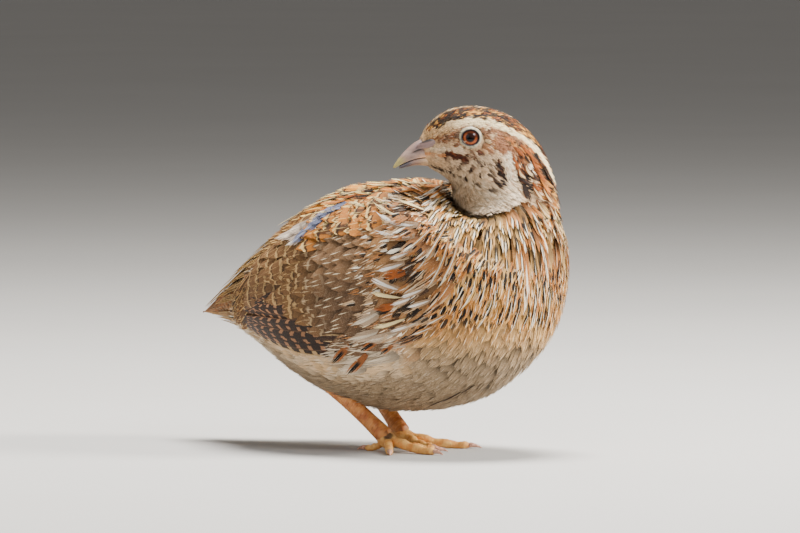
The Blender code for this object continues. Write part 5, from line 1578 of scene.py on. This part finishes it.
def limb_sheet(rows, sides, plates, depth=1.0, floor=False, lift=0.07):
    """A tube along rows of left, forward, height and radius, with a saw-toothed swelling for its plates."""
    path = np.array(rows, float)
    centres, radii = path[:, :3] * (1, -1, 1), path[:, 3]
    along = unit(np.gradient(centres, axis=0))
    left = unit(np.cross(along, np.cross((1.0, 0, 0), along)))
    front = np.cross(along, left)
    turn = full_turn(sides)
    ring = (np.cos(turn)[None, :, None] * left[:, None] + depth * np.sin(turn)[None, :, None]
            * front[:, None])
    walk = np.concatenate(([0], np.cumsum(np.linalg.norm(np.diff(centres, axis=0), axis=-1))))
    saw = (walk[:, None] / plates - 0.12 * np.cos(2 * turn)[None, :]) % 1.0
    swell = lift * (saw ** 2 - 0.5) * between(np.abs(np.sin(turn)), 0.0, 0.5)[None, :]
    points = centres[:, None] + (radii[:, None] + swell)[..., None] * ring
    ends = [(centres[end][None] + ring[end] * radii[end] * k + sign * along[end] * radii[end] * m)
            for end, sign in ((0, -1), (-1, 1)) for k, m in ((0.62, 0.72), (0.2, 0.95))]
    points = np.concatenate((ends[1][None], ends[0][None], points, ends[2][None], ends[3][None]))
    if floor:
        points[..., 2] = np.maximum(points[..., 2], 0.0)
    saw = np.concatenate((saw[:1], saw[:1], saw, saw[-1:], saw[-1:]))
    return points, saw


def joined(name, limbs, dark_spot=None):
    """Closed tubes as one mesh, which keeps for the colour the place along each plate and a darker spot."""
    mesh = sheet_mesh(name, *(points for points, saw in limbs))
    spread(mesh, "plate", np.concatenate([saw.reshape(-1) for points, saw in limbs]), 1)
    if dark_spot is not None:
        places = np.concatenate([points.reshape(-1, 3) for points, saw in limbs])
        away = np.linalg.norm(places - dark_spot, axis=-1)
        spread(mesh, "dark_spot", 0.9 * fall(away, 1.3, 2.1), 1)
    return mesh


leg_finish = Finish("leg_scales", 0.5, 0.45, Subsurface_Weight=0.08,
                    Subsurface_Radius=(0.004, 0.002, 0.001))
plate = leg_finish.value("plate")
mottle = leg_finish.noise(420.0, 4.0)
pores = leg_finish.node("TexVoronoi", {"feature": "DISTANCE_TO_EDGE"},
                        {"Vector": leg_finish.node("TexCoord", output="Object"), "Scale": 1500.0})
skin_tone = leg_finish.blend(srgb(0.87, 0.58, 0.31), srgb(0.74, 0.42, 0.22), mottle.step(0.35, 0.7))
skin_tone = leg_finish.blend(skin_tone, srgb(0.44, 0.24, 0.14), (plate - 0.82).step(0.0, 0.14) * 0.75)
skin_tone = leg_finish.blend(skin_tone, srgb(0.93, 0.74, 0.55), (0.25 - plate).step(0.0, 0.2) * 0.35)
leg_finish.set("Base Color", skin_tone)
leg_finish.bump(pores.smaller(0.25) * 0.8 + mottle * 0.4 + plate * 0.4, 0.0002, 0.7)

toe_finish = Finish("toe_scales", 0.5, 0.45, Subsurface_Weight=0.08,
                    Subsurface_Radius=(0.004, 0.002, 0.001))
plate = toe_finish.value("plate")
mottle = toe_finish.noise(500.0, 4.0)
toe_tone = toe_finish.blend(srgb(0.97, 0.76, 0.44), srgb(0.90, 0.60, 0.30), mottle.step(0.35, 0.7))
toe_tone = toe_finish.blend(toe_tone, srgb(0.55, 0.30, 0.18), (plate - 0.84).step(0.0, 0.12) * 0.6)
toe_finish.set("Base Color", toe_finish.blend(toe_tone, srgb(0.26, 0.19, 0.16), toe_finish.value("dark_spot")))
toe_finish.bump(mottle * 0.5 + plate * 0.5, 0.0002, 0.7)

claw_finish = Finish("claw_horn", 0.4, 0.5)
streak = claw_finish.noise(1500.0, 3.0)
claw_finish.set("Base Color", claw_finish.blend(srgb(0.90, 0.70, 0.60), srgb(0.66, 0.44, 0.36),
                                                streak.step(0.4, 0.7)))
claw_finish.bump(streak, 0.00005, 0.5)


def toe_rows(side, angle, length, base, tip):
    """Points along a toe from the ball of the foot, swollen at each joint, resting on the floor."""
    joint = np.array(TOE_JOINT[side])
    a = math.radians(angle + FOOT_TURN[side])
    t = np.linspace(0, 1, 44)
    radius = (base + (tip - base) * t) * (1 + 0.1 * np.cos(6 * math.pi * t))
    height = np.maximum(joint[2] * (1 - t) ** 2 * 0.75 + radius * 0.86, radius * 0.86)
    return np.stack((joint[0] + side * math.sin(a) * length * t, joint[1] + math.cos(a) * length * t,
                     height, radius), -1)


def claw_rows(side, angle, toe_end, length):
    """Points along a claw: straight on from the toe, bending down by the square of the way, and thinner."""
    a = math.radians(angle + FOOT_TURN[side])
    way = np.array((side * math.sin(a), math.cos(a)))
    t = np.linspace(0, 1, 16)
    start = toe_end[:2] + way * (0.75 * toe_end[3] + 0.1)
    flat = start[None, :] + way[None, :] * (0.35 + length * t)[:, None]
    return np.concatenate((flat, (toe_end[2] * (1 - 0.75 * t * t) + 0.1)[:, None],
                           (0.85 * (1 - 0.8 * t))[:, None]), 1)


for side, word in SIDES:
    hock, joint = np.array(HOCK[side]), np.array(TOE_JOINT[side])
    up_leg = hock + (hock - joint) * 0.12
    rows = [(*(up_leg + (joint - up_leg) * k / 4 * 0.96), r) for k, r in enumerate(TARSUS_RADII)]
    shank = joined(f"shank_skin_{word}", [limb_sheet(smooth_rows(rows, 90), 32, 1.45, 1.2)])
    show(f"shank_skin_{word}", shank, leg_finish.material, (f"shank_{word}",))
    ball = smooth_rows(((*(joint + (0, -2.0, 0.4)), 2.4), (*(joint + (0, -0.4, -0.5)), 2.6),
                        (*(joint + (0, 1.0, -0.9)), 2.3)), 14)
    toes = [limb_sheet(ball, 24, 1.3, floor=True)]
    for toe, angle, length, base, tip in TOES:
        path = toe_rows(side, angle, length, base, tip)
        toes.append(limb_sheet(path, 20, 1.15, floor=True, lift=0.16))
        claw = limb_sheet(claw_rows(side, angle, path[-1], 3.6 * (0.7 if toe == "1" else 1.0)), 14,
                          9.0, floor=True, lift=0.0)
        show(f"claw_horn_{word}_{toe}", joined(f"claw_horn_{word}_{toe}", [claw]), claw_finish.material,
             (f"claw_{word}_{toe}",))
    # A darker spot by the near foot's toe joint; the far foot's spot is set far off the foot, so none
    # shows.
    dark_spot = joint + (-1.9, -1.6, 1.4) if side < 0 else joint + (0, 0, 40.0)
    show(f"foot_skin_{word}", joined(f"foot_skin_{word}", toes, dark_spot), toe_finish.material,
         (f"foot_{word}",))


# Studio
# A plain pale floor, round soft lamps above, to the right and in front, and a long lens low to the ground.
# A small lamp beside the camera puts the glint in the eye.

def studio_floor():
    """A level square of eight by eight faces."""
    x, y = np.meshgrid(np.linspace(-16, 16, 9), np.linspace(-16, 16, 9), indexing="ij")
    mesh = bpy.data.meshes.new("studio_floor")
    number = np.arange(81).reshape(9, 9)
    faces = np.stack((number[:-1, :-1], number[1:, :-1], number[1:, 1:], number[:-1, 1:]),
                     -1).reshape(-1, 4)
    mesh.from_pydata(np.stack((x, y, 0 * x), -1).reshape(-1, 3).tolist(), [], faces.tolist())
    return mesh


floor_finish = Finish("studio_floor", 0.8, 0.2)
floor_finish.set("Base Color",
                 floor_finish.blend((0.50, 0.49, 0.47), (0.54, 0.53, 0.51), floor_finish.noise(6.0)))
floor = bpy.data.objects.new("studio_floor", studio_floor())
floor.data.materials.append(floor_finish.material)
bpy.context.scene.collection.objects.link(floor)

AZIMUTH, ELEVATION, DISTANCE, LENS = -50.0, 3.0, 3.0, 432.0
a, e = math.radians(AZIMUTH), math.radians(ELEVATION)
back = np.array((math.sin(a) * math.cos(e), -math.cos(a) * math.cos(e), math.sin(e)))
right = np.array((math.cos(a), math.sin(a), 0.0))
above = np.cross(back, right)
aim = (right * -2.0 + above * 57.3 + PLACE) * MM
lens = bpy.data.cameras.new("camera")
lens.lens, lens.sensor_width, lens.clip_end = LENS, 36.0, 50.0
camera = bpy.data.objects.new("camera", lens)
camera.location = Vector(aim + back * DISTANCE)
camera.rotation_euler = Vector(back).to_track_quat("Z", "Y").to_euler()
bpy.context.scene.collection.objects.link(camera)
bpy.context.scene.camera = camera


def soft_light(name, place, size, power, tint):
    """A round lamp that faces the middle of the bird."""
    lamp = bpy.data.lights.new(name, "AREA")
    lamp.shape, lamp.size, lamp.energy, lamp.color = "DISK", size, power, tint
    made = bpy.data.objects.new(name, lamp)
    made.location = Vector(place)
    made.rotation_euler = (Vector(place) - Vector((0, 0, 0.055))).to_track_quat("Z", "Y").to_euler()
    bpy.context.scene.collection.objects.link(made)


soft_light("key_light", right * 0.95 + back * 0.20 + (0, 0, 0.60), 0.4, 25.0, (1.0, 0.96, 0.90))
soft_light("top_light", right * 0.1 - back * 0.15 + (0, 0, 1.1), 0.5, 38.0, (1.0, 0.97, 0.93))
soft_light("fill_light", back * 1.0 - right * 0.6 + (0, 0, 0.45), 0.8, 2.5, (0.98, 0.98, 1.0))
soft_light("eye_light", right * 0.52 + back * 0.74 + (0, 0, 0.62), 0.28, 5.0, (0.93, 0.96, 1.0))
world = bpy.data.worlds.new("studio_air")
world.use_nodes = True
world.node_tree.nodes["Background"].inputs[0].default_value = (0.86, 0.83, 0.80, 1.0)
world.node_tree.nodes["Background"].inputs[1].default_value = 0.26
bpy.context.scene.world = world
